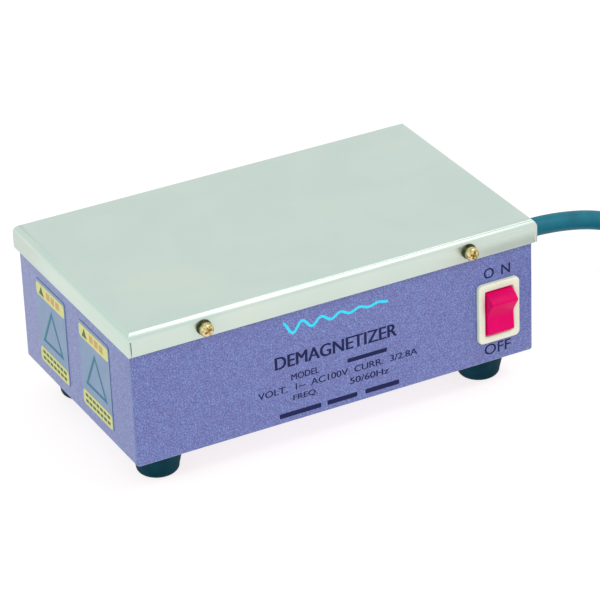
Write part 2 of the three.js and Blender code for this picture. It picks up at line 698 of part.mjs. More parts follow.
function makeWiring() {
  const blockX = CASE_LENGTH / 2 - CASE_SHEET - BLOCK_INSET[0];
  const blockY = CASE_WIDTH / 2 - CASE_SHEET - BLOCK_INSET[1];
  const blockTop = CASE_FLOOR + SEAT + BLOCK_SIZE[2];
  const block = box(BLOCK_SIZE, [blockX, blockY, blockTop - BLOCK_SIZE[2] / 2]);
  const wells = SIDES.map(([, side]) =>
    rod("z", WELL_RADIUS, 2 * WELL_DEPTH, [blockX, blockY + (side * WELL_SPACING) / 2, blockTop], 12),
  );
  add("terminal_block", cut(block, ...wells), "ivory");

  const blockEnd = blockY - BLOCK_SIZE[1] / 2 - FIT;
  const glandInside = CASE_LENGTH / 2 - CASE_SHEET - GLAND_TAIL - FIT;
  const inner = [
    [glandInside, 0, CORD_RISE],
    [glandInside - 5, 0, CORD_RISE],
    [blockX + 4, blockEnd - 8, CORD_RISE - 6],
    [blockX, blockEnd - 12, CASE_FLOOR + 13],
    [blockX, blockEnd - 6, CASE_FLOOR + 8],
    [blockX, blockEnd, CASE_FLOOR + 8],
  ];
  add("cord_inner_end", tube(inner, CORD_RADIUS - 1, 8, 14), "cord");

  const tabEnd = BEZEL_FACE + BEZEL_THICK + SWITCH_DEPTH + TAB_TAIL + FIT;
  const coilHalf = STACK_WIDTH / 2 + COIL_BUILD + FIT;
  const coilMiddle = (YOKE_TOP + CORE_TOP) / 2;
  const cutoutY = coilHalf + CUTOUT_SIZE[1] / 2;
  const contactZ = SWITCH_Z - CONTACT_SHIFT;
  const inside = CORE_LENGTH / 2 + 4;
  const rearY = CASE_WIDTH / 2 - CASE_SHEET - 2.5;
  const leads = {
    lead_supply: [
      [SWITCH_X, tabEnd, SWITCH_Z], [SWITCH_X, tabEnd + 5, SWITCH_Z + 3],
      [blockX + 6, -18, SWITCH_Z + 12], [blockX + 8, 2, SWITCH_Z + 11],
      [blockX + 6, blockY - 8, blockTop + 10], [blockX + 6, blockY - 7, blockTop + FIT],
    ],
    lead_switched: [
      [SWITCH_X, tabEnd, contactZ], [SWITCH_X, tabEnd + 4, contactZ],
      [inside + 2, -15, contactZ + 4], [inside, 20, YOKE_TOP + 16],
      [inside - 6, rearY - 12, coilMiddle + 8], [inside - 18, rearY - 2, coilMiddle],
      [CUTOUT_SIZE[0] / 2 + 6, cutoutY, coilMiddle], [CUTOUT_SIZE[0] / 2 + FIT, cutoutY, coilMiddle],
    ],
    lead_coil: [
      [-CUTOUT_SIZE[0] / 2 - FIT, cutoutY, coilMiddle], [-CUTOUT_SIZE[0] / 2 - 4, cutoutY, coilMiddle],
      [-CUTOUT_SIZE[0] / 2 - 7, coilHalf + LEAD_RADIUS + 1, coilMiddle + 4],
      [-CUTOUT_SIZE[0] / 2 - 9, coilHalf + LEAD_RADIUS + FIT, coilMiddle + 9],
    ],
    lead_return: [
      [18, coilHalf + LEAD_RADIUS + FIT, coilMiddle - 12], [24, coilHalf + LEAD_RADIUS + 1, coilMiddle - 12],
      [34, rearY - 1, coilMiddle - 13], [inside - 8, rearY - 1, coilMiddle - 14],
      [blockX - 8, rearY - 3, blockTop + 7], [blockX, blockY + 12, blockTop + 8],
      [blockX, blockY + 7.5, blockTop + 6], [blockX, blockY + 7, blockTop + FIT],
    ],
  };
  for (const [name, points] of Object.entries(leads))
    add(name, tube(points, LEAD_RADIUS, 6, 4 * points.length), "lead");
}

// Mains cord

// The boot is moulded round the cord, and its neck is snapped into the case's side.
function makeGland() {
  const groove = CASE_SHEET + 2 * SEAT;
  const tip = GLAND_REACH - SEAT;
  const profile = [
    [0, -groove - GLAND_TAIL],
    [GLAND_NECK_RADIUS + GLAND_BARB / 2, -groove - GLAND_TAIL],
    [GLAND_NECK_RADIUS + GLAND_BARB, -groove],
    [GLAND_NECK_RADIUS, -groove],
    [GLAND_NECK_RADIUS, 0],
    [GLAND_FLANGE_RADIUS, 0],
    [GLAND_FLANGE_RADIUS, GLAND_FLANGE_THICK - 1],
    [GLAND_FLANGE_RADIUS - 1, GLAND_FLANGE_THICK],
    [GLAND_ROOT_RADIUS, GLAND_FLANGE_THICK],
    [GLAND_TIP_RADIUS, tip - 1],
    [GLAND_TIP_RADIUS - 0.6, tip],
    [0, tip],
  ];
  const axis = groupAt([CASE_LENGTH / 2 + SEAT, 0, CORD_RISE], [0, 90, 0]);
  add("cord_gland", turned(profile, 24), "rubber", axis);
}

function makeCord() {
  const frame = groupAt([CORD_X, 0, 0]);
  const section = (grow) =>
    closed([
      [COIL_INNER_RADIUS - grow, 0],
      [COIL_OUTER_RADIUS + grow, 0],
      [COIL_OUTER_RADIUS + grow, COIL_HEIGHT / 2 + grow],
      [COIL_OUTER_RADIUS - 5 + grow, COIL_HEIGHT + grow],
      [COIL_INNER_RADIUS + 5 - grow, COIL_HEIGHT + grow],
      [COIL_INNER_RADIUS - grow, COIL_HEIGHT / 2 + grow],
    ]);
  const place = [...COIL_CENTRE, 0];
  const band = (grow) => {
    const width = COIL_OUTER_RADIUS - COIL_INNER_RADIUS + 4 * FIT;
    const height = COIL_HEIGHT + 2 * FIT;
    const low = TIE_THICK - grow;
    const outer = boxBetween(
      [-width / 2 - TIE_THICK - grow, -TIE_WIDTH / 2 - grow, 0],
      [width / 2 + TIE_THICK + grow, TIE_WIDTH / 2 + grow, low + height + TIE_THICK + 2 * grow],
    );
    return { outer, hole: boxBetween([-width / 2, -TIE_WIDTH, low], [width / 2, TIE_WIDTH, low + height]) };
  };
  const middle = (COIL_INNER_RADIUS + COIL_OUTER_RADIUS) / 2;
  const toTie = [COIL_CENTRE[0] + middle, COIL_CENTRE[1], 0];
  const tie = band(0);
  add("coil_tie", cut(tie.outer, tie.hole).translate(...toTie), "plastic", frame);
  const notch = box(
    [COIL_OUTER_RADIUS - COIL_INNER_RADIUS + 6, TIE_WIDTH + 2 * FIT, 2 * (TIE_THICK + FIT)],
    toTie,
  );
  add("cord_coil", cut(turned(section(0), 40).translate(...place), notch), "cord", frame);

  const past = turned(section(FIT), 40).translate(...place);
  const free = tube(CORD_ROUTE, CORD_RADIUS, 8, 24);
  add("cord_tube", cut(free, past), "cord", frame);
  add("cord_tail", cut(tube(TAIL_ROUTE, CORD_RADIUS, 8, 6), past), "cord", frame);
}

// The plug lies beside the coil, its blades pointing back towards the case.
function makePlug() {
  const [x, y, z] = PLUG_START;
  const frame = groupAt([CORD_X + x, y, z], [0, -90, 0]);
  const boot = turned(
    [
      [0, 0],
      [CORD_RADIUS + PLUG_BOOT_WALL, 0],
      [CORD_RADIUS + PLUG_BOOT_WALL + PLUG_BOOT_TAPER, PLUG_BOOT],
      [0, PLUG_BOOT],
    ],
    16,
  );
  const body = raise(
    roundedRectangle(PLUG_THICK, PLUG_WIDTH, PLUG_CORNER),
    PLUG_BOOT - SEAT,
    PLUG_BOOT + PLUG_LENGTH,
  );
  const sockets = SIDES.map(([, side]) =>
    box(
      [BLADE_WIDTH + 2 * FIT, BLADE_THICK + 2 * FIT, 2 * BLADE_ROOT],
      [0, (side * BLADE_SPACING) / 2, PLUG_BOOT + PLUG_LENGTH],
    ),
  );
  add("plug", cut(join(boot, body), ...sockets), "plastic", frame);
  SIDES.forEach(([name, side]) => {
    const low = PLUG_BOOT + PLUG_LENGTH - BLADE_ROOT + FIT;
    const blade = boxBetween(
      [-BLADE_WIDTH / 2, -BLADE_THICK / 2, low],
      [BLADE_WIDTH / 2, BLADE_THICK / 2, PLUG_BOOT + PLUG_LENGTH + BLADE_LENGTH],
    );
    add(`plug_blade_${name}`, blade.translate(0, (side * BLADE_SPACING) / 2, 0), "brass", frame);
  });
}

// Labels

function makeLabels() {
  const low = FOOT_HEIGHT + LABEL_RISE;
  const high = SKIRT_EDGE - LABEL_DROP;
  const face = -CASE_LENGTH / 2 - SEAT;
  for (const [name, side] of SIDES) {
    const centre = LABEL_SHIFT + (side * LABEL_SPACING) / 2;
    const label = boxBetween(
      [face - LABEL_THICK, centre - LABEL_WIDTH / 2, low],
      [face, centre + LABEL_WIDTH / 2, high],
    );
    add(`label_${name}`, label, "label");
  }
}

makeCase();
makeLid();
makeLidScrews();
makeFeet();
makeSwitch();
makeCore();
makeCoil();
makeCoreMountings();
makeWiring();
makeGland();
makeCord();
makePlug();
makeLabels();

export default part;
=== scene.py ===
"""The looks of a plate demagnetizer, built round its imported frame.

Shapes are drawn in millimetres in the frame's own axes, and piece() turns them into metres.
The front is -Y, the cord leaves at +X, and the surface that it stands on is Z = 0.
"""
import math

import bmesh
import bpy
from mathutils import Matrix, Vector


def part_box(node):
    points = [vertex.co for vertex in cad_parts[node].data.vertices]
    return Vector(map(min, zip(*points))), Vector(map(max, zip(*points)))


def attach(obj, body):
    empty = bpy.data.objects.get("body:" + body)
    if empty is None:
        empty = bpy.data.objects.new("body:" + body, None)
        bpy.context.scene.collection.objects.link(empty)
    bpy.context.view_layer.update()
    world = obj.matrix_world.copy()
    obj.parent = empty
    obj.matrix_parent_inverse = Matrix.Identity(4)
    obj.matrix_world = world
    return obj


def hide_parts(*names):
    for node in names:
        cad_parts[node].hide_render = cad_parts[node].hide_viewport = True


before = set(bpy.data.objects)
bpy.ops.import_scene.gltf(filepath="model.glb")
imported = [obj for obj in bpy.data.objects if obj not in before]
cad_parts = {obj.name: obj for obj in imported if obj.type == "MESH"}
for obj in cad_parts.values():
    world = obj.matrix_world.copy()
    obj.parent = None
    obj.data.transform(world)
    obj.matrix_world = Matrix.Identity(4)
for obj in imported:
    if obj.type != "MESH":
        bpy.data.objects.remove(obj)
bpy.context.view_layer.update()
MM = 0.001
scene = bpy.context.scene


def corners(node):
    """A node's lowest and highest corners, in millimetres."""
    return [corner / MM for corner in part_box(node)]


# ------------------------------------------------------------------ camera

CAMERA_AIM = Vector((9.45, -4.24, 41.31))
CAMERA_AZIMUTH = math.radians(26.902)  # from the front, towards the left side
CAMERA_ELEVATION = math.radians(28.491)
CAMERA_ROLL = math.radians(-2.35)
CAMERA_DISTANCE = 1537.8
CAMERA_LENS = 206.07
CAMERA_SENSOR = 36.0


def make_camera():
    data = bpy.data.cameras.new("camera")
    data.sensor_width = CAMERA_SENSOR
    data.lens = CAMERA_LENS
    camera = bpy.data.objects.new("camera", data)
    turn = (
        Matrix.Rotation(-CAMERA_AZIMUTH, 4, "Z")
        @ Matrix.Rotation(math.pi / 2 - CAMERA_ELEVATION, 4, "X")
        @ Matrix.Rotation(CAMERA_ROLL, 4, "Z")
    )
    away = turn @ Vector((0, 0, CAMERA_DISTANCE))
    camera.matrix_world = Matrix.Translation((CAMERA_AIM + away) * MM) @ turn
    scene.collection.objects.link(camera)
    scene.camera = camera


# ------------------------------------------------------------------ finishes


def srgb(red, green, blue):
    """A colour given as 0 to 255 in sRGB, as linear RGBA."""
    linear = []
    for value in (red, green, blue):
        v = value / 255
        linear.append(v / 12.92 if v <= 0.04045 else ((v + 0.055) / 1.055) ** 2.4)
    return (*linear, 1.0)


ONE_BAND_PER_UNIT = 0.314  # a wave texture's scale


class Finish:
    """A procedural material: a Principled shader and the textures that drive it."""

    def __init__(self, name, colour, roughness, metallic=0.0, **sockets):
        self.material = bpy.data.materials.new(name)
        self.material.use_nodes = True
        self.tree = self.material.node_tree
        self.shader = self.tree.nodes["Principled BSDF"]
        self.set("Base Color", colour)
        self.set("Roughness", roughness)
        self.set("Metallic", metallic)
        for socket, value in sockets.items():
            self.set(socket.replace("_", " "), value)
        self.coordinates = self.tree.nodes.new("ShaderNodeTexCoord").outputs["Object"]
        self.normal = None

    def set(self, socket, value):
        self.shader.inputs[socket].default_value = value

    def link(self, output, target):
        self.tree.links.new(output, target)

    def place(self, stretch):
        """The piece's own coordinates in millimetres, shrunk along each axis by stretch."""
        mapping = self.tree.nodes.new("ShaderNodeMapping")
        self.link(self.coordinates, mapping.inputs["Vector"])
        mapping.inputs["Scale"].default_value = [1 / (MM * s) for s in stretch]
        return mapping.outputs["Vector"]

    def noise(self, size, detail=2.0, roughness=0.5, distortion=0.0, stretch=(1, 1, 1)):
        """Smooth noise whose patches are about size millimetres across, times stretch."""
        node = self.tree.nodes.new("ShaderNodeTexNoise")
        self.link(self.place([size * s for s in stretch]), node.inputs["Vector"])
        node.inputs["Scale"].default_value = 1.0
        node.inputs["Detail"].default_value = detail
        node.inputs["Roughness"].default_value = roughness
        node.inputs["Distortion"].default_value = distortion
        return node.outputs["Fac"]

    def cells(self, size, smooth):
        """Cells about size millimetres across, whose edges run into each other."""
        node = self.tree.nodes.new("ShaderNodeTexVoronoi")
        node.feature = "SMOOTH_F1"
        node.inputs["Smoothness"].default_value = smooth
        self.link(self.place([size] * 3), node.inputs["Vector"])
        node.inputs["Scale"].default_value = 1.0
        return node.outputs["Distance"]

    def stripes(self, size, axis):
        """Bands across an axis, one to each size millimetres."""
        node = self.tree.nodes.new("ShaderNodeTexWave")
        node.wave_type = "BANDS"
        node.bands_direction = axis
        self.link(self.place([size] * 3), node.inputs["Vector"])
        node.inputs["Scale"].default_value = ONE_BAND_PER_UNIT
        node.inputs["Distortion"].default_value = 0.4
        node.inputs["Detail"].default_value = 1.0
        return node.outputs["Fac"]

    def ramp(self, factor, *stops):
        """A colour ramp on a factor, its stops given as (position, colour)."""
        node = self.tree.nodes.new("ShaderNodeValToRGB")
        elements = node.color_ramp.elements
        while len(elements) < len(stops):
            elements.new(0.5)
        for element, (position, colour) in zip(elements, stops):
            element.position = position
            element.color = colour
        self.link(factor, node.inputs["Fac"])
        return node.outputs["Color"]

    def blend(self, factor, a, b, mode="MIX"):
        """Two colour outputs mixed by a factor output, or by a number."""
        node = self.tree.nodes.new("ShaderNodeMix")
        node.data_type = "RGBA"
        node.blend_type = mode
        if isinstance(factor, (int, float)):
            node.inputs["Factor"].default_value = factor
        else:
            self.link(factor, node.inputs["Factor"])
        # Its colour sockets share their names with others, so they go by number.
        for socket, value in ((node.inputs[6], a), (node.inputs[7], b)):
            if isinstance(value, tuple):
                socket.default_value = value
            else:
                self.link(value, socket)
        return node.outputs[2]

    def span(self, factor, low, high):
        """A factor from 0 to 1, carried to the span from low to high."""
        node = self.tree.nodes.new("ShaderNodeMapRange")
        self.link(factor, node.inputs["Value"])
        node.inputs["To Min"].default_value = low
        node.inputs["To Max"].default_value = high
        return node.outputs["Result"]

    def colour(self, output):
        self.link(output, self.shader.inputs["Base Color"])

    def roughness(self, factor, low, high):
        self.link(self.span(factor, low, high), self.shader.inputs["Roughness"])

    def bump(self, height, depth, strength=1.0):
        """Relief from a height output, depth millimetres from 0 to 1. Bumps add up."""
        node = self.tree.nodes.new("ShaderNodeBump")
        node.inputs["Strength"].default_value = strength
        node.inputs["Distance"].default_value = depth * MM
        self.link(height, node.inputs["Height"])
        if self.normal:
            self.link(self.normal, node.inputs["Normal"])
        self.normal = node.outputs["Normal"]
        self.link(self.normal, self.shader.inputs["Normal"])


def grey(value):
    return (value, value, value, 1.0)


def satin_stainless():
    """Cold-rolled stainless sheet with a satin finish, faintly clouded by handling."""
    f = Finish("satin_stainless", srgb(203, 215, 206), 0.36, metallic=0.75)
    clouds = f.noise(34, detail=3, distortion=0.6)
    f.colour(
        f.ramp(
            clouds,
            (0.3, srgb(200, 213, 204)),
            (0.55, srgb(204, 215, 206)),
            (0.75, srgb(208, 216, 204)),
        )
    )
    f.roughness(clouds, 0.33, 0.38)
    f.bump(f.noise(0.35, detail=1, stretch=(40, 1, 1)), 0.004, 0.5)
    f.bump(f.noise(1.6, detail=2), 0.006, 0.5)
    return f.material


def hammer_paint():
    """Blue-violet hammer-finish enamel: small dimples with lighter and darker flecks."""
    f = Finish("hammer_paint", srgb(92, 103, 162), 0.42, Coat_Weight=0.5, Coat_Roughness=0.32)
    flecks = f.noise(0.7, detail=1.5, roughness=0.6)
    hue = f.noise(2.6, detail=1)
    base = f.ramp(
        flecks,
        (0.3, srgb(66, 77, 146)),
        (0.46, srgb(88, 100, 164)),
        (0.58, srgb(106, 119, 180)),
        (0.74, srgb(132, 148, 202)),
    )
    warm = f.blend(1.0, base, srgb(244, 226, 236), "MULTIPLY")
    f.colour(f.blend(f.span(hue, -0.6, 1.5), base, warm))
    dimples = f.cells(1.1, smooth=0.5)
    f.bump(dimples, 0.07, 0.5)
    f.bump(flecks, 0.03, 0.4)
    f.roughness(flecks, 0.36, 0.52)
    return f.material


def zinc(name, low, middle, high, roughness=0.3):
    """Plated steel, with the plating's drifting tints."""
    f = Finish(name, middle, roughness, metallic=1.0)
    tint = f.noise(2.2, detail=2, distortion=1.2)
    f.colour(f.ramp(tint, (0.3, low), (0.5, middle), (0.7, high)))
    f.roughness(f.noise(0.8), roughness - 0.08, roughness + 0.12)
    f.bump(f.noise(0.4), 0.01, 0.4)
    return f.material


def moulded(name, colour, shade, roughness, grain=0.5, depth=0.012, **sockets):
    """Moulded plastic or rubber with a fine skin and faint mottling between two colours."""
    f = Finish(name, colour, roughness, **sockets)
    f.colour(f.ramp(f.noise(9, detail=3), (0.35, shade), (0.65, colour)))
    f.roughness(f.noise(3.5), roughness - 0.06, roughness + 0.08)
    f.bump(f.noise(grain, detail=2), depth, 0.6)
    return f.material


def laminations():
    """Stacked transformer plates, seen on edge as fine bands across the stack."""
    f = Finish("core_laminations", srgb(92, 98, 104), 0.5, metallic=0.9)
    bands = f.stripes(1.0, "Y")
    f.colour(f.ramp(bands, (0.25, srgb(52, 56, 62)), (0.6, srgb(112, 118, 124))))
    f.bump(bands, 0.08, 0.7)
    f.roughness(f.noise(7), 0.42, 0.62)
    return f.material


def winding():
    """Enamelled copper wire wound in layers, with painted shade darkening the grooves between
    turns.
    """
    f = Finish(
        "copper_winding", srgb(178, 98, 52), 0.32, metallic=0.95,
        Coat_Weight=0.4, Coat_Roughness=0.2,
    )
    turns = f.stripes(1.4, "Z")
    # Painted shade: the ramp's dark end falls in the bump's grooves between the turns.
    f.colour(f.ramp(turns, (0.1, srgb(92, 42, 20)), (0.6, srgb(196, 116, 66))))
    f.bump(turns, 0.3, 0.8)
    return f.material


def printed(name, colour, shade):
    """Screen-printed ink, a little uneven in its cover."""
    f = Finish(name, colour, 0.45, Specular_IOR_Level=0.2)
    f.colour(f.ramp(f.noise(0.9, detail=3), (0.3, shade), (0.6, colour)))
    f.bump(f.noise(0.5), 0.01, 0.5)
    return f.material


LOOKS = {
    "stainless": satin_stainless(),
    "paint": hammer_paint(),
    "yellow_zinc": zinc(
        "yellow_zinc", srgb(142, 136, 76), srgb(214, 194, 134), srgb(234, 206, 190), 0.28
    ),
    "dark_zinc": zinc("dark_zinc", srgb(44, 48, 30), srgb(84, 84, 54), srgb(128, 120, 92), 0.4),
    "steel": zinc("zinc_steel", srgb(150, 154, 160), srgb(178, 182, 186), srgb(196, 196, 190)),
    "brass": zinc(
        "contact_brass", srgb(190, 150, 70), srgb(214, 178, 96), srgb(226, 196, 120), 0.25
    ),
    "rubber": moulded(
        "foot_rubber", srgb(0, 56, 70), srgb(0, 44, 56), 0.65, grain=0.7, depth=0.02,
        Specular_IOR_Level=0.08,
    ),
    "jacket": moulded(
        "cord_jacket", srgb(0, 108, 128), srgb(0, 96, 116), 0.5, grain=1.2, Specular_IOR_Level=0.3
    ),
    "ivory": moulded("bezel_plastic", srgb(228, 225, 208), srgb(222, 219, 200), 0.38),
    "red": moulded(
        "rocker_plastic", srgb(222, 0, 98), srgb(214, 0, 92), 0.4, grain=0.9, depth=0.006,
        Specular_IOR_Level=0.06,
    ),
    "black": moulded("plug_plastic", srgb(24, 30, 34), srgb(18, 22, 26), 0.45),
    "block": moulded("block_plastic", srgb(226, 222, 206), srgb(214, 208, 190), 0.45),
    "bobbin": moulded("bobbin_plastic", srgb(40, 40, 44), srgb(30, 30, 34), 0.5),
    "lead": moulded("lead_insulation", srgb(214, 214, 208), srgb(200, 200, 194), 0.42),
    "laminations": laminations(),
    "winding": winding(),
    "film": moulded("label_film", srgb(118, 136, 170), srgb(112, 130, 166), 0.4, depth=0.004),
    "yellow": printed("label_yellow", srgb(212, 200, 136), srgb(196, 190, 112)),
    "teal": printed("label_ink", srgb(38, 112, 138), srgb(30, 100, 126)),
    "olive": printed("label_text", srgb(70, 84, 54), srgb(96, 108, 62)),
    "amber": printed("label_amber", srgb(204, 150, 104), srgb(186, 140, 84)),
    "navy": printed("navy_ink", srgb(8, 14, 66), srgb(14, 22, 82)),
    "cyan": printed("cyan_ink", srgb(40, 208, 240), srgb(70, 214, 240)),
}

# ------------------------------------------------------------------ shapes

# Where drawings in X and Y, standing out along Z, are laid.
FRONT = Matrix(((1, 0, 0, 0), (0, 0, -1, 0), (0, 1, 0, 0), (0, 0, 0, 1)))
REAR = Matrix(((-1, 0, 0, 0), (0, 0, 1, 0), (0, 1, 0, 0), (0, 0, 0, 1)))
LEFT = Matrix(((0, 0, -1, 0), (-1, 0, 0, 0), (0, 1, 0, 0), (0, 0, 0, 1)))
RIGHT = Matrix(((0, 0, 1, 0), (1, 0, 0, 0), (0, 1, 0, 0), (0, 0, 0, 1)))
UNDER = Matrix.Rotation(math.pi, 4, "X")


def at(point, turn=Matrix.Identity(4)):
    return Matrix.Translation(point) @ turn


def arc(centre, radius, start, end, steps):
    """Points on a round stretch, from one angle to another in degrees."""
    points = []
    for i in range(steps + 1):
        angle = math.radians(start + (end - start) * i / steps)
        points.append((centre[0] + radius * math.cos(angle), centre[1] + radius * math.sin(angle)))
    return points


def rounded(width, height, radius, steps=6):
    """A rectangle with rounded corners, round the origin."""
    x, y = width / 2 - radius, height / 2 - radius
    outline = []
    for turn, (sx, sy) in enumerate(((1, 1), (-1, 1), (-1, -1), (1, -1))):
        outline += arc((sx * x, sy * y), radius, 90 * turn, 90 * turn + 90, steps)
    return outline


def loft(rings, joined=False):
    """A surface through rings of equally many points, capped or joined last to first."""
    bm = bmesh.new()
    loops = [[bm.verts.new(p) for p in ring] for ring in rings]
    pairs = list(zip(loops, loops[1:])) + ([(loops[-1], loops[0])] if joined else [])
    for low, high in pairs:
        for i in range(len(low)):
            j = (i + 1) % len(low)
            bm.faces.new((low[i], low[j], high[j], high[i]))
    if not joined:
        bm.faces.new(list(reversed(loops[0])))
        bm.faces.new(loops[-1])
    bmesh.ops.remove_doubles(bm, verts=bm.verts, dist=1e-4)
    bmesh.ops.recalc_face_normals(bm, faces=bm.faces)
    return bm


def turned(profile, sides=48, joined=False):
    """A profile of (radius, height) points turned about Z."""
    rings = []
    angles = [2 * math.pi * i / sides for i in range(sides)]
    for radius, height in profile:
        rings.append([(radius * math.cos(a), radius * math.sin(a), height) for a in angles])
    return loft(rings, joined=joined)


def rod(radius, low, high, sides):
    return turned([(0, low), (radius, low), (radius, high), (0, high)], sides)


def extruded(outline, low, high):
    """An outline in X and Y, carried along Z."""
    return loft([[(x, y, z) for x, y in outline] for z in (low, high)])


def shell(name, bm):
    """An object for a bmesh, still in millimetres."""
    mesh = bpy.data.meshes.new(name)
    bm.to_mesh(mesh)
    bm.free()
    thing = bpy.data.objects.new(name, mesh)
    scene.collection.objects.link(thing)
    return thing


def settle(thing):
    """Applies an object's modifiers, or turns its curve or text into a mesh."""
    graph = bpy.context.evaluated_depsgraph_get()
    mesh = bpy.data.meshes.new_from_object(thing.evaluated_get(graph))
    if thing.type == "MESH":
        thing.modifiers.clear()
        thing.data = mesh
        return thing
    name = thing.name
    bpy.data.objects.remove(thing)
    made = bpy.data.objects.new(name, mesh)
    scene.collection.objects.link(made)
    return made


def bevel(thing, width, segments, angle):
    """Rounds the edges that are sharper than an angle in degrees."""
    edge = thing.modifiers.new("bevel", "BEVEL")
    edge.width = width
    edge.segments = segments
    edge.limit_method = "ANGLE"
    edge.angle_limit = math.radians(angle)
    return settle(thing)


def cut(thing, *cutters):
    """Takes bmeshes away from an object."""
    for bm in cutters:
        tool = shell("cutter", bm)
        difference = thing.modifiers.new("cut", "BOOLEAN")
        difference.operation = "DIFFERENCE"
        difference.solver = "EXACT"
        difference.object = tool
        settle(thing)
        bpy.data.objects.remove(tool)
    return thing


def moved(bm, matrix):
    bm.transform(matrix)
    return bm


def piece(thing, look, stands_for=(), body="base", where=Matrix.Identity(4), smooth=32):
    """Finishes an object: places it, turns it into metres and gives it its look and body."""
    mesh = thing.data
    mesh.transform(Matrix.Scale(MM, 4) @ where)
    mesh.materials.clear()
    mesh.materials.append(LOOKS[look])
    mesh.shade_smooth()
    mesh.set_sharp_from_angle(angle=math.radians(smooth))
    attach(thing, body)
    if stands_for:
        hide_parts(*stands_for)
    return thing


# ------------------------------------------------------------------ mains cord

CORD_RADIUS = 4.5
BOOT_LOW, BOOT_HIGH = corners("cord_gland")
CORD_RISE = (BOOT_LOW.z + BOOT_HIGH.z) / 2
CORD_X = BOOT_HIGH.x  # the boot's tip

# The free stretches, X counted from the boot's tip.
CORD_ROUTE = [
    (-3, 0, 42), (0.3, 0, 42), (5, 0, 41.9), (10, 0, 41.6), (15, 0, 41.1), (20, 0, 40.4),
    (25, 0, 39.5), (30, 0, 38.4), (35, 0, 37), (40, 0, 35.3), (45, 0, 33.1),
    (50, 0, 30.4), (55, 0, 27.3), (60, 0, 24.1), (65, 0, 21.2), (70, 0, 18.7),
]
TAIL_ROUTE = [
    (73, -113.4, 4.8), (68, -113.7, 5.4), (63, -113.8, 6.5), (58, -113.8, 7.7), (53, -113.8, 8.4),
    (43, -113.8, 8.5),
]
COIL_CENTRE = Vector((89, -54.6))  # X counted from the boot's tip
LOW_RINGS = (40.8, 50.0, 59.2)  # the three turns that lie on the surface
LOW_Z = CORD_RADIUS
LAP = 9.2  # from one turn's middle to the next one's
TIE_LIFT = 1.3  # how far the cord stands up on the tie's lower side
TIE_TURN = 90
TIE_SPREAD = 20
COIL_STEP = 10
COIL_END = 1620
# The winding starts on the middle low turn's inner side, and rolls over it in two steps.
ROLL_START, ROLL_STEP = 120, 60
# The turns of the winding, in degrees, between which each change takes place.
ROLL_OUT, ROLL_DOWN = (305, 360), (610, 665)
TO_MIDDLE, TO_OUTER = (900, 970), (1260, 1330)
COMING_DOWN = (-10, 40)
COME_DOWN_FROM = 2.4


def over_middle(roll):
    """Radius and height of a turn rolled round the middle low one by an angle from inwards."""
    angle = math.radians(roll)
    return LOW_RINGS[1] - LAP * math.cos(angle), LOW_Z + LAP * math.sin(angle)


def eased(turn, start, end):
    """From 0 at the start to 1 at the end, with a smooth beginning and end."""
    t = min(max((turn - start) / (end - start), 0), 1)
    return t * t * (3 - 2 * t)


def coil_section(turn):
    """Radius and height of the winding after turning this far, in degrees from the rear."""
    inner, middle, outer = LOW_RINGS
    if turn < ROLL_DOWN[0]:
        radius, height = over_middle(ROLL_START - ROLL_STEP * eased(turn, *ROLL_OUT))
    elif turn < TO_MIDDLE[0]:
        rolled = ROLL_START - ROLL_STEP
        radius, height = over_middle(rolled - ROLL_STEP * eased(turn, *ROLL_DOWN))
    else:
        radius = inner + (middle - inner) * eased(turn, *TO_MIDDLE)
        radius += (outer - middle) * eased(turn, *TO_OUTER)
        height = LOW_Z
    # The cord comes down to the coil's upper layer in its first part.
    height += COME_DOWN_FROM * (1 - eased(turn, *COMING_DOWN))
    off_tie = ((turn - TIE_TURN + 180) % 360 - 180) / TIE_SPREAD
    return radius, height + TIE_LIFT * math.exp(-off_tie * off_tie)


def cord_points():
    points = [Vector((CORD_X + x, y, z)) for x, y, z in CORD_ROUTE]
    for turn in range(0, COIL_END + 1, COIL_STEP):
        radius, height = coil_section(turn)
        angle = math.radians(turn)
        points.append(
            Vector((
                CORD_X + COIL_CENTRE.x + radius * math.sin(angle),
                COIL_CENTRE.y + radius * math.cos(angle),
                height,
            ))
        )
    return points + [Vector((CORD_X + x, y, z)) for x, y, z in TAIL_ROUTE]


def make_cord():
    points = cord_points()
    curve = bpy.data.curves.new("mains_cord", "CURVE")
    curve.dimensions = "3D"
    curve.bevel_depth = CORD_RADIUS * MM
    curve.bevel_resolution = 6
    curve.resolution_u = 3
    curve.use_fill_caps = True
    spline = curve.splines.new("BEZIER")
    spline.bezier_points.add(len(points) - 1)
    for knot, point in zip(spline.bezier_points, points):
        knot.co = point * MM
        knot.handle_left_type = knot.handle_right_type = "AUTO"
    cord = bpy.data.objects.new("mains_cord", curve)
    scene.collection.objects.link(cord)
    curve.materials.append(LOOKS["jacket"])
    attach(cord, "base")
    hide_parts("cord_tube", "cord_coil", "cord_tail")
    return cord, sum((b - a).length for a, b in zip(points, points[1:]))


BOOT_RINGS = 7
BOOT_RADIUS = 7.3  # its first ring
BOOT_TAPER = 1.6
BOOT_NECK = 6.4  # where it goes through the case
SKIN = 0.05  # keeps two faces from lying on each other


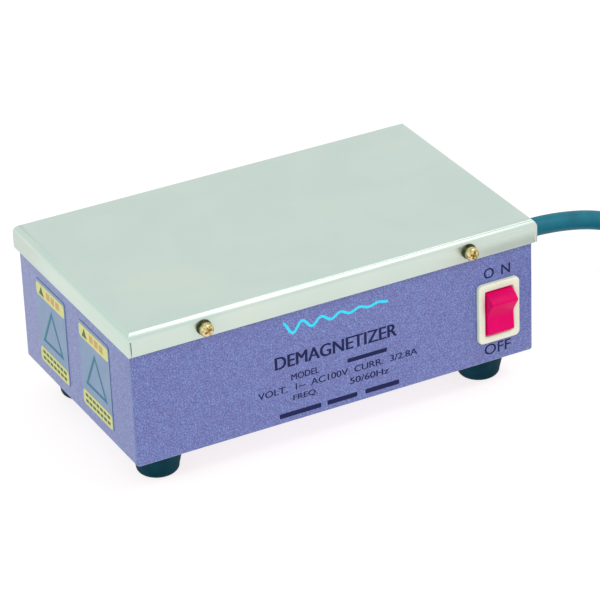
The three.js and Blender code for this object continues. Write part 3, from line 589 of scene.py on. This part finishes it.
def make_boot():
    """The cord's boot, moulded in rings that get smaller towards the tip."""
    low, high = BOOT_LOW, BOOT_HIGH
    face = corners("case")[1].x + SKIN - low.x
    reach = high.x - low.x
    flange = (high.z - low.z) / 2
    profile = [(0, 0), (7, 0), (7.8, 4), (BOOT_NECK, 4.1), (BOOT_NECK, face)]
    profile += [(flange - 0.6, face), (flange, face + 0.6)]
    profile += arc((flange - 1, face + 2), 1, 0, 90, 4)
    start, pitch = face + 4, (reach - face - 4) / BOOT_RINGS
    for i in range(BOOT_RINGS):
        radius = BOOT_RADIUS - BOOT_TAPER * i / BOOT_RINGS
        z = start + i * pitch
        profile += [(radius - 1.0, z - 0.6), (radius - 0.2, z), (radius, z + 0.4)]
        profile += [(radius - 0.05, z + pitch - 1.6), (radius - 0.3, z + pitch - 1.2)]
    profile += [(5.6, reach - 0.3), (5.0, reach), (0, reach)]
    boot = shell("cord_boot", turned(profile, 64))
    piece(boot, "jacket", ["cord_gland"], where=at((low.x, 0, CORD_RISE), RIGHT))
    return boot


def make_tie():
    """The flat band round the coiled cord."""
    low, high = corners("coil_tie")
    width, height = high.x - low.x, high.z - low.z
    band, corner = 1.2, 6
    outer = rounded(width, height, corner, 8)
    inner = rounded(width - 2 * band, height - 2 * band, corner - band, 8)
    depth = high.y - low.y
    rings = [
        [(x, y, z) for x, y in outline]
        for outline, z in ((outer, 0), (outer, depth), (inner, depth), (inner, 0))
    ]
    tie = bevel(shell("cord_tie", loft(rings, joined=True)), 0.35, 2, 50)
    centre = (low + high) / 2
    piece(tie, "black", ["coil_tie"], where=at((centre.x, high.y, centre.z), FRONT))
    return tie


PLUG_SIDES = 64
PLUG_BOOT = 20.0
PLUG_RINGS = 5
PLUG_RING_PITCH = 3.4
BLADE_HOLE = 1.5
BLADE_HOLE_INSET = 5


def make_plug():
    """A two-blade plug: a ringed boot that swells into a moulded body."""
    low, high = corners("plug")
    centre = (low + high) / 2
    half_width, half_height = (high.y - low.y) / 2, (high.z - low.z) / 2
    length = high.x - low.x

    def section(s, a, b, square):
        """A ring at s along the plug, from round, 2, to nearly square, 5."""
        ring = []
        for i in range(PLUG_SIDES):
            t = 2 * math.pi * i / PLUG_SIDES
            c, n = math.cos(t), math.sin(t)
            x = a * math.copysign(abs(c) ** (2 / square), c)
            y = b * math.copysign(abs(n) ** (2 / square), n)
            ring.append((x, y, s))
        return ring

    rings = [section(0, 4.6, 4.6, 2)]
    for i in range(PLUG_RINGS):
        s = 0.4 + PLUG_RING_PITCH * i
        r = 5.6 + 0.22 * i
        rings += [section(s, r, r, 2), section(s + 2.2, r, r, 2)]
        rings += [section(s + 2.4, r - 0.8, r - 0.8, 2), section(s + 3.2, r - 0.8, r - 0.8, 2)]
    rings += [
        section(PLUG_BOOT - 1.5, 6.6, 6.4, 2),
        section(PLUG_BOOT + 1.5, half_width - 3, half_height - 1.2, 3),
        section(PLUG_BOOT + 4, half_width - 0.7, half_height - 0.2, 3.6),
        section(PLUG_BOOT + 7, half_width, half_height, 4),
        section(length - 6, half_width - 0.5, half_height - 0.4, 4.5),
        section(length - 1.2, half_width - 1.2, half_height - 1.0, 5),
        section(length - 0.3, half_width - 1.7, half_height - 1.5, 5),
        section(length, half_width - 2.6, half_height - 2.4, 5),
    ]
    plug = shell("mains_plug", loft(rings))
    piece(plug, "black", ["plug"], where=at((high.x, centre.y, centre.z), LEFT))
    blades = []
    for name in ("front", "rear"):
        b_low, b_high = corners(f"plug_blade_{name}")
        size = b_high - b_low
        outline = rounded(size.x, size.z, 1.2, 4)
        blade = cut(
            shell(f"blade_{name}", extruded(outline, 0, size.y)),
            moved(rod(BLADE_HOLE, -1, 3, 24), at((-size.x / 2 + BLADE_HOLE_INSET, 0, 0))),
        )
        bevel(blade, 0.2, 2, 40)
        middle = (b_low + b_high) / 2
        piece(
            blade, "brass", [f"plug_blade_{name}"],
            where=at((middle.x, b_high.y, middle.z), FRONT),
        )
        blades.append(blade)
    return [plug, *blades]


# ------------------------------------------------------------------ case and lid

CASE_SHEET = 1.2
CASE_CORNER = 1.6
CASE_BEND = 1.25
CASE_LOW, CASE_HIGH = corners("case")
LID_LOW, LID_HIGH = corners("lid")
LID_SHEET = 1.2
LID_BEND = 4.2
LID_SEAM = 0.4
SWITCH_LOW, SWITCH_HIGH = corners("switch_housing")
SWITCH_LIP = 1.2


def make_case():
    """An open tub of painted sheet, with the switch's window and the boot's hole."""
    size = CASE_HIGH - CASE_LOW

    def ring(inset, z):
        radius = max(CASE_CORNER - inset, 0.3)
        outline = rounded(size.x - 2 * inset, size.y - 2 * inset, radius, 7)
        return [(x, y, z) for x, y in outline]

    bend = arc((CASE_BEND, CASE_LOW.z + CASE_BEND), CASE_BEND, -90, -180, 7)
    rings = [ring(inset, z) for inset, z in bend]
    rings += [ring(0, CASE_HIGH.z), ring(CASE_SHEET, CASE_HIGH.z)]
    inner = arc((CASE_BEND, CASE_LOW.z + CASE_BEND), CASE_BEND - CASE_SHEET, -180, -90, 3)
    rings += [ring(inset, z) for inset, z in inner]
    centre = (SWITCH_LOW + SWITCH_HIGH) / 2
    switch = SWITCH_HIGH - SWITCH_LOW
    spare = 0.6 - 2 * SWITCH_LIP
    window = rounded(switch.x + spare, switch.z + spare, 1, 3)
    boot_hole = rod(BOOT_NECK + 0.3, -6, 3, 48)
    case = cut(
        shell("case_shell", loft(rings)),
        moved(extruded(window, -4, 4), at((centre.x, CASE_LOW.y, centre.z), FRONT)),
        moved(boot_hole, at((CASE_HIGH.x, 0, CORD_RISE), RIGHT)),
    )
    piece(case, "paint", ["case"], smooth=40)


def make_lid():
    """One folded sheet, whose short skirts run past the ends of the long ones at the corners."""
    half_x, half_y = LID_HIGH.x, LID_HIGH.y
    ends = ((-1, -1), (1, -1), (1, 1), (-1, 1))
    bm = bmesh.new()
    rings = []
    for out, height in arc((0, 0), LID_BEND, 90, 0, 10):
        x, y = half_x - LID_BEND + out, half_y - LID_BEND + out
        z = LID_HIGH.z - LID_BEND + height
        rings.append([bm.verts.new((sx * x, sy * y, z)) for sx, sy in ends])
    bm.faces.new(rings[0])
    for high, low in zip(rings, rings[1:-1]):
        for i in range(4):
            j = (i + 1) % 4
            bm.faces.new((high[j], high[i], low[i], low[j]))

    high, low = rings[-2:]
    bend_end = LID_HIGH.z - LID_BEND
    seam_x = half_x - LID_SHEET - LID_SEAM

    def skirt(a, b):
        under = [bm.verts.new((v.co.x, v.co.y, LID_LOW.z)) for v in (a, b)]
        bm.faces.new((b, a, under[0], under[1]))

    for i in range(4):
        j = (i + 1) % 4
        if i % 2:  # a short side
            bm.faces.new((high[j], high[i], low[i], low[j]))
            skirt(low[i], low[j])
            continue
        side = ends[i][0]
        stops = [bm.verts.new((s * seam_x, low[i].co.y, bend_end)) for s in (side, -side)]
        bm.faces.new((high[j], high[i], low[i], *stops, low[j]))
        skirt(*stops)
    lid = shell("lid_sheet", bm)
    sheet = lid.modifiers.new("sheet", "SOLIDIFY")
    sheet.thickness = LID_SHEET
    sheet.offset = -1
    sheet.use_even_offset = True
    settle(lid)
    bevel(lid, 0.22, 2, 62)
    piece(lid, "stainless", ["lid"], smooth=40)


# ------------------------------------------------------------------ screws and feet

BORE = 2.3  # clearance round an M4 screw
FLAT_WASHER_THICK = 1.0
M4_HEAD = (3.2, 2.6)  # radius and height
M4_SHANK = 2
FOOT_SCREW_LENGTH = 12
CORE_SCREW = (3.6, 2.5, 9)  # the head's height, the shank's radius and the length
LID_SCREW_TURNS = {"left": 28, "right": -20}  # how far each was driven, in degrees
FOOT_TAPER = 2.8
FOOT_EDGE = 2.6
FOOT_RECESS = 5.5
FOOT_RECESS_DEPTH = 9


def cross_recess(width, depth):
    """A tapered cross, to be cut into a head whose top is at Z = 0."""
    def ring(scale, z):
        a, b = width / 2 * scale, width / 7 * scale
        cross = [(a, -b), (a, b), (b, b), (b, a), (-b, a), (-b, b), (-a, b), (-a, -b),
                 (-b, -b), (-b, -a), (b, -a), (b, -b)]
        return [(x, y, z) for x, y in cross]
    return loft([ring(0.55, -depth), ring(1.02, 0.3)])


def pan_screw(name, radius, height, shank, length):
    """A pan-head screw along Z, its head above the origin."""
    crown = [(radius, 0.0), (radius, height * 0.35)]
    crown += arc((radius - height * 0.6, height * 0.4), height * 0.6, 0, 90, 7)
    profile = [(0, -length), (shank - 0.5, -length), (shank, -length + 0.6), (shank, 0)]
    profile += [*crown, (0, height)]
    screw = cut(
        shell(name, turned(profile, 48)),
        moved(cross_recess(radius * 1.25, height * 0.75), at((0, 0, height))),
    )
    return bevel(screw, 0.1, 2, 50)


def flat_washer(name, radius, hole, thick):
    ring = [(hole, 0), (radius, 0), (radius, thick), (hole, thick)]
    return bevel(shell(name, turned(ring, joined=True)), 0.12, 2, 50)


def lock_washer(name, radius, hole, thick):
    """A split spring washer, its ends a little apart."""
    steps, split, rise = 40, 8, 0.12
    low, high = rise / 2, thick - rise / 2
    rings = []
    for i in range(steps + 1):
        angle = math.radians(split + (360 - 2 * split) * i / steps)
        lift = rise * (i / steps - 0.5)
        rings.append([
            (r * math.cos(angle), r * math.sin(angle), z + lift)
            for r, z in ((hole, low), (radius, low), (radius, high), (hole, high))
        ])
    return bevel(shell(name, loft(rings)), 0.1, 2, 50)


def make_lid_screws():
    """Each lid screw holds a flat and a spring washer against the skirt."""
    for side, facing in (("front", FRONT), ("rear", REAR)):
        for end in ("left", "right"):
            name = f"{side}_{end}"
            low, high = corners(f"lid_screw_{name}")
            centre = (low + high) / 2
            w_low, w_high = corners(f"lid_washer_{name}")
            if side == "front":
                tip, seat, washer_seat = low.y, w_low.y - SKIN, w_high.y
            else:
                tip, seat, washer_seat = high.y, w_high.y + SKIN, w_low.y
            head = abs(tip - seat)
            length = high.y - low.y - head
            screw = pan_screw(f"screw_{name}", (high.x - low.x) / 2, head, M4_SHANK, length)
            tilt = Matrix.Rotation(math.radians(LID_SCREW_TURNS[end]), 4, "Z")
            piece(
                screw, "yellow_zinc", [f"lid_screw_{name}"],
                where=at((centre.x, seat, centre.z), facing @ tilt),
            )
            under = at((centre.x, washer_seat, centre.z), facing @ tilt)
            radius, thick = (w_high.z - w_low.z) / 2, w_high.y - w_low.y
            flat = flat_washer(f"flat_washer_{name}", radius, BORE, FLAT_WASHER_THICK)
            piece(flat, "dark_zinc", [f"lid_washer_{name}"], where=under)
            thick -= FLAT_WASHER_THICK
            spring = lock_washer(f"spring_washer_{name}", radius - 0.3, BORE, thick)
            piece(spring, "dark_zinc", where=under @ at((0, 0, FLAT_WASHER_THICK)))


def make_feet():
    """Tapered rubber feet with a screw up through a recess, and the core's screws by them."""
    for name in ("front_left", "front_right", "rear_left", "rear_right"):
        low, high = corners(f"foot_{name}")
        centre = (low + high) / 2
        top, top_radius = high.z - low.z, (high.y - low.y) / 2
        recess, depth = FOOT_RECESS, FOOT_RECESS_DEPTH
        profile = [(recess, 0.5), (recess + 0.5, 0)]
        profile += arc((top_radius - FOOT_TAPER - FOOT_EDGE, FOOT_EDGE), FOOT_EDGE, -90, 4, 9)
        profile += [(top_radius - 0.25, top - 1.2), (top_radius, top - 0.7)]
        profile += [(top_radius - 0.3, top), (BORE, top), (BORE, depth)]
        profile += [(recess - 0.5, depth), (recess, depth - 0.5)]
        foot = shell(f"rubber_foot_{name}", turned(profile, 72, joined=True))
        stand = at((centre.x, centre.y, low.z))
        piece(foot, "rubber", [f"foot_{name}"], where=stand)
        screw = pan_screw(f"foot_fixing_{name}", *M4_HEAD, M4_SHANK, FOOT_SCREW_LENGTH)
        piece(
            screw, "steel", [f"foot_screw_{name}"],
            where=at((centre.x, centre.y, low.z + depth - SKIN), UNDER),
        )
        b_low, b_high = corners(f"bracket_screw_{name}")
        middle = (b_low + b_high) / 2
        fixing = pan_screw(f"core_fixing_{name}", (b_high.x - b_low.x) / 2, *CORE_SCREW)
        piece(
            fixing, "steel", [f"bracket_screw_{name}"],
            where=at((middle.x, middle.y, CASE_LOW.z - SKIN), UNDER),
        )


# ------------------------------------------------------------------ switch

BEZEL_THICK = 2.0
BEZEL_CORNER = 2.4
BEZEL_FILLET = 0.8
OPENING = (14.2, 22.4)
ROCKER_RADIUS = 10.9
ROCKER_WIDTH = 13.4
ROCKER_BACK = 3.9
ROCKER_CREST = 50  # the angle from the face's middle to each crest
ROCKER_VALLEY = 4.4  # from the pivot out to the face's middle
ROCKER_TILT = 13
HOLLOW_HALF = 2.1
HOLLOW_RISE = 0.352
PIN_RADIUS, PIN_REACH = 1.4, 8.1
PLUNGER_RADIUS, PLUNGER_REACH = 1.2, 3.2
PIVOT_DEPTH = 3.3  # from the bezel's face to the pivot


def make_switch():
    """The bezel and body in one, and the rocker with its pins and plunger."""
    size = SWITCH_HIGH - SWITCH_LOW
    centre = (SWITCH_LOW + SWITCH_HIGH) / 2
    body = (size.x - 2 * SWITCH_LIP, size.z - 2 * SWITCH_LIP)
    depth = size.y

    def ring(width, height, radius, z):
        return [(x, y, z) for x, y in rounded(width, height, radius, 6)]

    rings = [ring(*OPENING, 0.4, 2 - depth), ring(*OPENING, 0.4, -0.5)]
    rings.append(ring(OPENING[0] + 0.5, OPENING[1] + 0.5, 0.65, -0.15))
    rings.append(ring(OPENING[0] + 1.1, OPENING[1] + 1.1, 0.9, 0))
    for inset, z in arc((BEZEL_FILLET, -BEZEL_FILLET), BEZEL_FILLET, 90, 180, 6):
        corner = BEZEL_CORNER - inset * 0.6
        rings.append(ring(size.x - 2 * inset, size.z - 2 * inset, corner, z))
    rings.append(ring(size.x, size.z, BEZEL_CORNER, -BEZEL_THICK))
    rings.append(ring(*body, 1, -BEZEL_THICK - 0.02))
    rings.append(ring(*body, 1, -depth))
    pin_hole = moved(rod(PIN_RADIUS + 0.3, -10, 10, 32), at((0, 0, -PIVOT_DEPTH), RIGHT))
    bezel = cut(shell("switch_bezel", loft(rings)), pin_hole)
    piece(
        bezel, "ivory", ["switch_housing"],
        where=at((centre.x, SWITCH_LOW.y, centre.z), FRONT), smooth=40,
    )

    # The rocker's outline, with X out of the panel and Y up: round ends, and a hollow face.
    crest = math.radians(ROCKER_CREST)
    peak = (ROCKER_RADIUS * math.cos(crest), ROCKER_RADIUS * math.sin(crest))
    back = math.degrees(math.acos(-ROCKER_BACK / ROCKER_RADIUS))
    top = arc((0, 0), ROCKER_RADIUS, back, ROCKER_CREST + 2, 12)
    slope = Vector((ROCKER_VALLEY - peak[0], -peak[1])).normalized()
    hollow = []
    for i in range(9):
        t = i / 4 - 1
        hollow.append((ROCKER_VALLEY + HOLLOW_RISE * t * t, -HOLLOW_HALF * t))
    bottom = [(x, -y) for x, y in reversed(top)]
    shoulder = (peak[0] + 0.5 * slope.x, peak[1] + 0.5 * slope.y)
    outline = [*top, shoulder, *hollow, (shoulder[0], -shoulder[1]), *bottom]
    rocker = bevel(
        shell("rocker_key", extruded(outline, -ROCKER_WIDTH / 2, ROCKER_WIDTH / 2)), 0.45, 3, 22
    )
    # Drawn with X out and Y up, and pressed so that its upper half stands out.
    upright = Matrix(((0, 0, 1, 0), (-1, 0, 0, 0), (0, 1, 0, 0), (0, 0, 0, 1)))
    tilt = Matrix.Rotation(math.radians(ROCKER_TILT), 4, "X")
    pivot = (centre.x, SWITCH_LOW.y + PIVOT_DEPTH, centre.z)
    piece(
        rocker, "red", ["rocker"], "switch_rocker",
        where=at(pivot, tilt @ upright), smooth=28,
    )
    pins = shell("rocker_pins", rod(PIN_RADIUS, -PIN_REACH, PIN_REACH, 32))
    piece(pins, "red", body="switch_rocker", where=at(pivot, RIGHT))
    root = ROCKER_BACK - 1
    profile = [(0, root), (PLUNGER_RADIUS, root)]
    profile += arc((0, ROCKER_BACK + PLUNGER_REACH), PLUNGER_RADIUS, 0, 90, 5)
    plunger = shell("rocker_plunger", turned(profile, 32))
    piece(plunger, "red", body="switch_rocker", where=at(pivot, tilt @ REAR))


# ------------------------------------------------------------------ printing and labels

INK = 0.03
SUNK = -0.02  # printing starts this far inside the face
LAST_LINE = ((-30, -9.5), (-6.5, 8.5), (12.5, 29.5))  # the plain bars' ends
RATING_CAPS = 3.1
RATING_BOLD = 0.15
WAVE_STEPS = 180
WAVE_LENGTH = 51.4
WAVE_HEIGHT = 3.1
WAVE_DECAY = 2.1
WAVE_CYCLES = 5.5
WAVE_STROKE = 0.62  # half the ribbon's width


def bar(name, look, x, y, width, height, where, thick=INK, radius=0.3):
    """A flat printed block centred at X and Y on a face."""
    block = shell(name, extruded(rounded(width, height, radius, 3), SUNK, thick))
    return piece(block, look, where=where @ at((x, y, 0)))


def lettering(name, words, x, y, width, height, where, spacing=1.0, bold=0.0):
    """Generic words printed on a face, fitted to a width and to the height of their capitals.

    Bold words are printed twice, a little apart.
    """
    text = bpy.data.curves.new(name, "FONT")
    text.body = words
    text.space_character = spacing
    text.extrude = 0.001
    text.resolution_u = 5
    thing = bpy.data.objects.new(name, text)
    scene.collection.objects.link(thing)
    thing = settle(thing)
    points = [v.co for v in thing.data.vertices]
    low = Vector([min(p[i] for p in points) for i in range(3)])
    high = Vector([max(p[i] for p in points) for i in range(3)])
    size = high - low
    fit = Matrix.Diagonal(((width - bold) / size.x, height / size.y, (INK + 0.02) / size.z, 1))
    thing.data.transform(fit @ Matrix.Translation(-(low + high) / 2))
    if bold:
        copy = bpy.data.objects.new(f"{name}_bold", thing.data.copy())
        scene.collection.objects.link(copy)
        piece(copy, "navy", where=where @ at((x + bold / 2, y, INK / 2 + 0.004)))
    piece(thing, "navy", where=where @ at((x - bold / 2, y, INK / 2)))


def wave_outline():
    """A plain pictogram of an alternating field dying away: a ribbon along a decaying sine."""
    line = []
    for i in range(WAVE_STEPS + 1):
        t = i / WAVE_STEPS
        fade = WAVE_HEIGHT * math.exp(-WAVE_DECAY * t)
        swing = math.cos(2 * math.pi * WAVE_CYCLES * t)
        line.append(Vector((WAVE_LENGTH * (t - 0.5), fade * swing)))
    left, right = [], []
    for i, point in enumerate(line):
        ahead = (line[min(i + 1, WAVE_STEPS)] - line[max(i - 1, 0)]).normalized()
        across = Vector((-ahead.y, ahead.x)) * WAVE_STROKE
        left.append(point + across)
        right.append(point - across)
    return left, right


def make_mark(where):
    left, right = wave_outline()
    bm = bmesh.new()
    rows = [
        [bm.verts.new((p.x, p.y, z)) for p in side]
        for side in (left, right) for z in (SUNK, INK)
    ]
    under_l, over_l, under_r, over_r = rows
    for i in range(len(left) - 1):
        bm.faces.new((over_r[i], over_r[i + 1], over_l[i + 1], over_l[i]))
        bm.faces.new((over_l[i], over_l[i + 1], under_l[i + 1], under_l[i]))
        bm.faces.new((under_r[i], under_r[i + 1], over_r[i + 1], over_r[i]))
    piece(shell("wave_mark", bm), "cyan", where=where)


def make_printing():
    """The front's printing, placed by X and by height above the surface it stands on."""
    panel = at((0, CASE_LOW.y, 0), FRONT)
    make_mark(panel @ at((-0.7, 61.7, 0)))
    lettering("title", "DEMAGNETIZER", -1.15, 46.15, 60.3, 6.2, panel, bold=0.45)
    small = {"height": RATING_CAPS, "where": panel, "bold": RATING_BOLD}
    lettering("rating_model", "MODEL", -16.75, 37.5, 13.7, **small)
    bar("model_blank", "navy", 13.95, 37.5, 19.7, 2.0, panel)
    words = "VOLT.  1~  AC100V  CURR.  3/2.8A"
    lettering("rating_volts", words, -0.5, 32.4, 79, **small)
    lettering("rating_freq", "FREQ.", -17, 27, 12, **small)
    lettering("rating_hertz", "50/60Hz", 14.7, 27, 19.4, **small)
    for number, (start, end) in enumerate(LAST_LINE):
        bar(
            f"last_line_{number}", "navy", (start + end) / 2, 19.6, end - start, 2.3, panel,
            radius=0.5,
        )
    x = (SWITCH_LOW.x + SWITCH_HIGH.x) / 2
    lettering("switch_on", "ON", x, SWITCH_HIGH.z + 4.6, 13.5, 5.0, panel, 1.9, RATING_BOLD)
    lettering("switch_off", "OFF", x, SWITCH_LOW.z - 4.3, 13.5, 5.2, panel, bold=RATING_BOLD)


def triangle(size, height, stroke):
    """An upright triangle's outline as two rings, the inner one a stroke further in."""
    half = size / 2
    outer = [(-half, 0), (half, 0), (0, height)]
    slant = math.hypot(half, height)
    inset = stroke * (slant + half) / height
    inner = [(-half + inset, stroke), (half - inset, stroke), (0, height - stroke * slant / half)]
    return outer, inner


LABEL_INK = 0.05
LABEL_TOP_INK = 0.08
LABEL_HEAD, LABEL_FOOT = (37.3, 6.4), (4.1, 7.2)  # each band's middle above the foot, and height
HEAD_BARS, FOOT_BARS = 3, 14
TRIANGLE = (22, 19.4, 1.5)  # width, height and stroke


def make_labels():
    """Each label has a yellow band at its top and foot, and an empty triangle between them.

    Plain bars stand in place of the words.
    """
    for side in ("front", "rear"):
        low, high = corners(f"label_{side}")
        size = high - low
        centre = (low + high) / 2
        film = shell(f"label_sheet_{side}", extruded(rounded(size.y, size.z, 1.5, 5), 0, size.x))
        middle = at((high.x, centre.y, centre.z), LEFT)
        piece(film, "film", [f"label_{side}"], where=middle)
        face = at((low.x, centre.y, low.z), LEFT)
        for band, (y, height) in (("head", LABEL_HEAD), ("foot", LABEL_FOOT)):
            name = f"label_{band}_{side}"
            bar(name, "yellow", 0, y, size.y - 1, height, face, LABEL_INK, radius=1.6)
        corners_of_sign = [(-2.6, 0), (2.6, 0), (0, 4.4)]
        sign = shell(f"label_sign_{side}", extruded(corners_of_sign, SUNK, LABEL_TOP_INK))
        piece(sign, "olive", where=face @ at((-9.4, 35.1, 0)))
        for number in range(HEAD_BARS):
            name, x = f"label_head_{side}_{number}", 5 * number - 2.4
            bar(name, "amber", x, LABEL_HEAD[0], 3.6, 3.4, face, LABEL_TOP_INK)
        for number in range(FOOT_BARS):
            row, place = divmod(number, FOOT_BARS // 2)
            name, x, y = f"label_foot_{side}_{number}", 3.7 * place - 11.1, 2.6 + 3 * row
            bar(name, "olive", x, y, 2.9, 1.5, face, LABEL_TOP_INK)
        outer, inner = triangle(*TRIANGLE)
        rings = [
            [(x, y, z) for x, y in outline]
            for outline, z in (
                (outer, SUNK), (outer, LABEL_INK), (inner, LABEL_INK), (inner, SUNK)
            )
        ]
        mark = shell(f"label_triangle_{side}", loft(rings, joined=True))
        piece(mark, "teal", where=face @ at((0, 11.7, 0)))


# ------------------------------------------------------------------ carried-over nodes

# The look of each node whose name starts so; the first that fits counts.
INNER_LOOKS = (
    ("core_pad", "rubber"),
    ("core_", "steel"),
    ("core", "laminations"),
    ("coil", "winding"),
    ("bobbin", "bobbin"),
    ("thermal_cutout", "bobbin"),
    ("terminal_block", "block"),
    ("terminal_", "brass"),
    ("contact_arm", "brass"),
    ("cord_inner_end", "jacket"),
    ("lead_", "lead"),
    ("lid_nut", "steel"),
)


def dress_inner_nodes():
    for name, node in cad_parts.items():
        if not node.hide_render:
            look = next(look for start, look in INNER_LOOKS if name.startswith(start))
            node.data.materials.clear()
            node.data.materials.append(LOOKS[look])


# ------------------------------------------------------------------ studio


FLOOR_SIDE = 12000
FLOOR_GLOW = ((1, 0.945, 0.94, 1), 0.83)
WORLD_COLOUR = (0.94, 0.98, 1.0, 1)
WORLD_STRENGTH = 0.945
LIGHTS_AIM = Vector((0, 0, 0.04))  # in metres, as the lights' places and sizes are


def soft_light(name, place, size, watts, colour):
    light = bpy.data.lights.new(name, "AREA")
    light.shape = "RECTANGLE"
    light.size, light.size_y = size
    light.energy = watts
    light.color = colour
    lamp = bpy.data.objects.new(name, light)
    lamp.location = place
    towards = LIGHTS_AIM - Vector(place)
    lamp.rotation_euler = towards.to_track_quat("-Z", "Y").to_euler()
    scene.collection.objects.link(lamp)


def make_studio():
    floor = shell("floor", extruded(rounded(FLOOR_SIDE, FLOOR_SIDE, 100, 4), -5, -SKIN))
    colour, strength = FLOOR_GLOW
    look = Finish(
        "floor_paper", grey(0.25), 0.9, Emission_Color=colour, Emission_Strength=strength
    )
    look.bump(look.noise(4), 0.02, 0.2)
    floor.data.transform(Matrix.Scale(MM, 4))
    floor.data.materials.append(look.material)

    world = bpy.data.worlds.new("studio")
    world.use_nodes = True
    background = world.node_tree.nodes["Background"]
    background.inputs["Color"].default_value = WORLD_COLOUR
    background.inputs["Strength"].default_value = WORLD_STRENGTH
    scene.world = world
    scene.view_settings.view_transform = "Standard"
    scene.view_settings.look = "None"

    soft_light("key", (0.62, -0.8, 1.35), (0.5, 0.35), 7, (1.0, 0.99, 0.97))
    soft_light("left_fill", (-1.2, -0.3, 0.6), (1.6, 1.6), 5, (0.2, 1.0, 0.6))


make_camera()
cord, cord_length = make_cord()
boot = make_boot()
tie = make_tie()
plug_pieces = make_plug()
make_case()
make_lid()
make_lid_screws()
make_feet()
make_switch()
make_printing()
make_labels()
dress_inner_nodes()
make_studio()
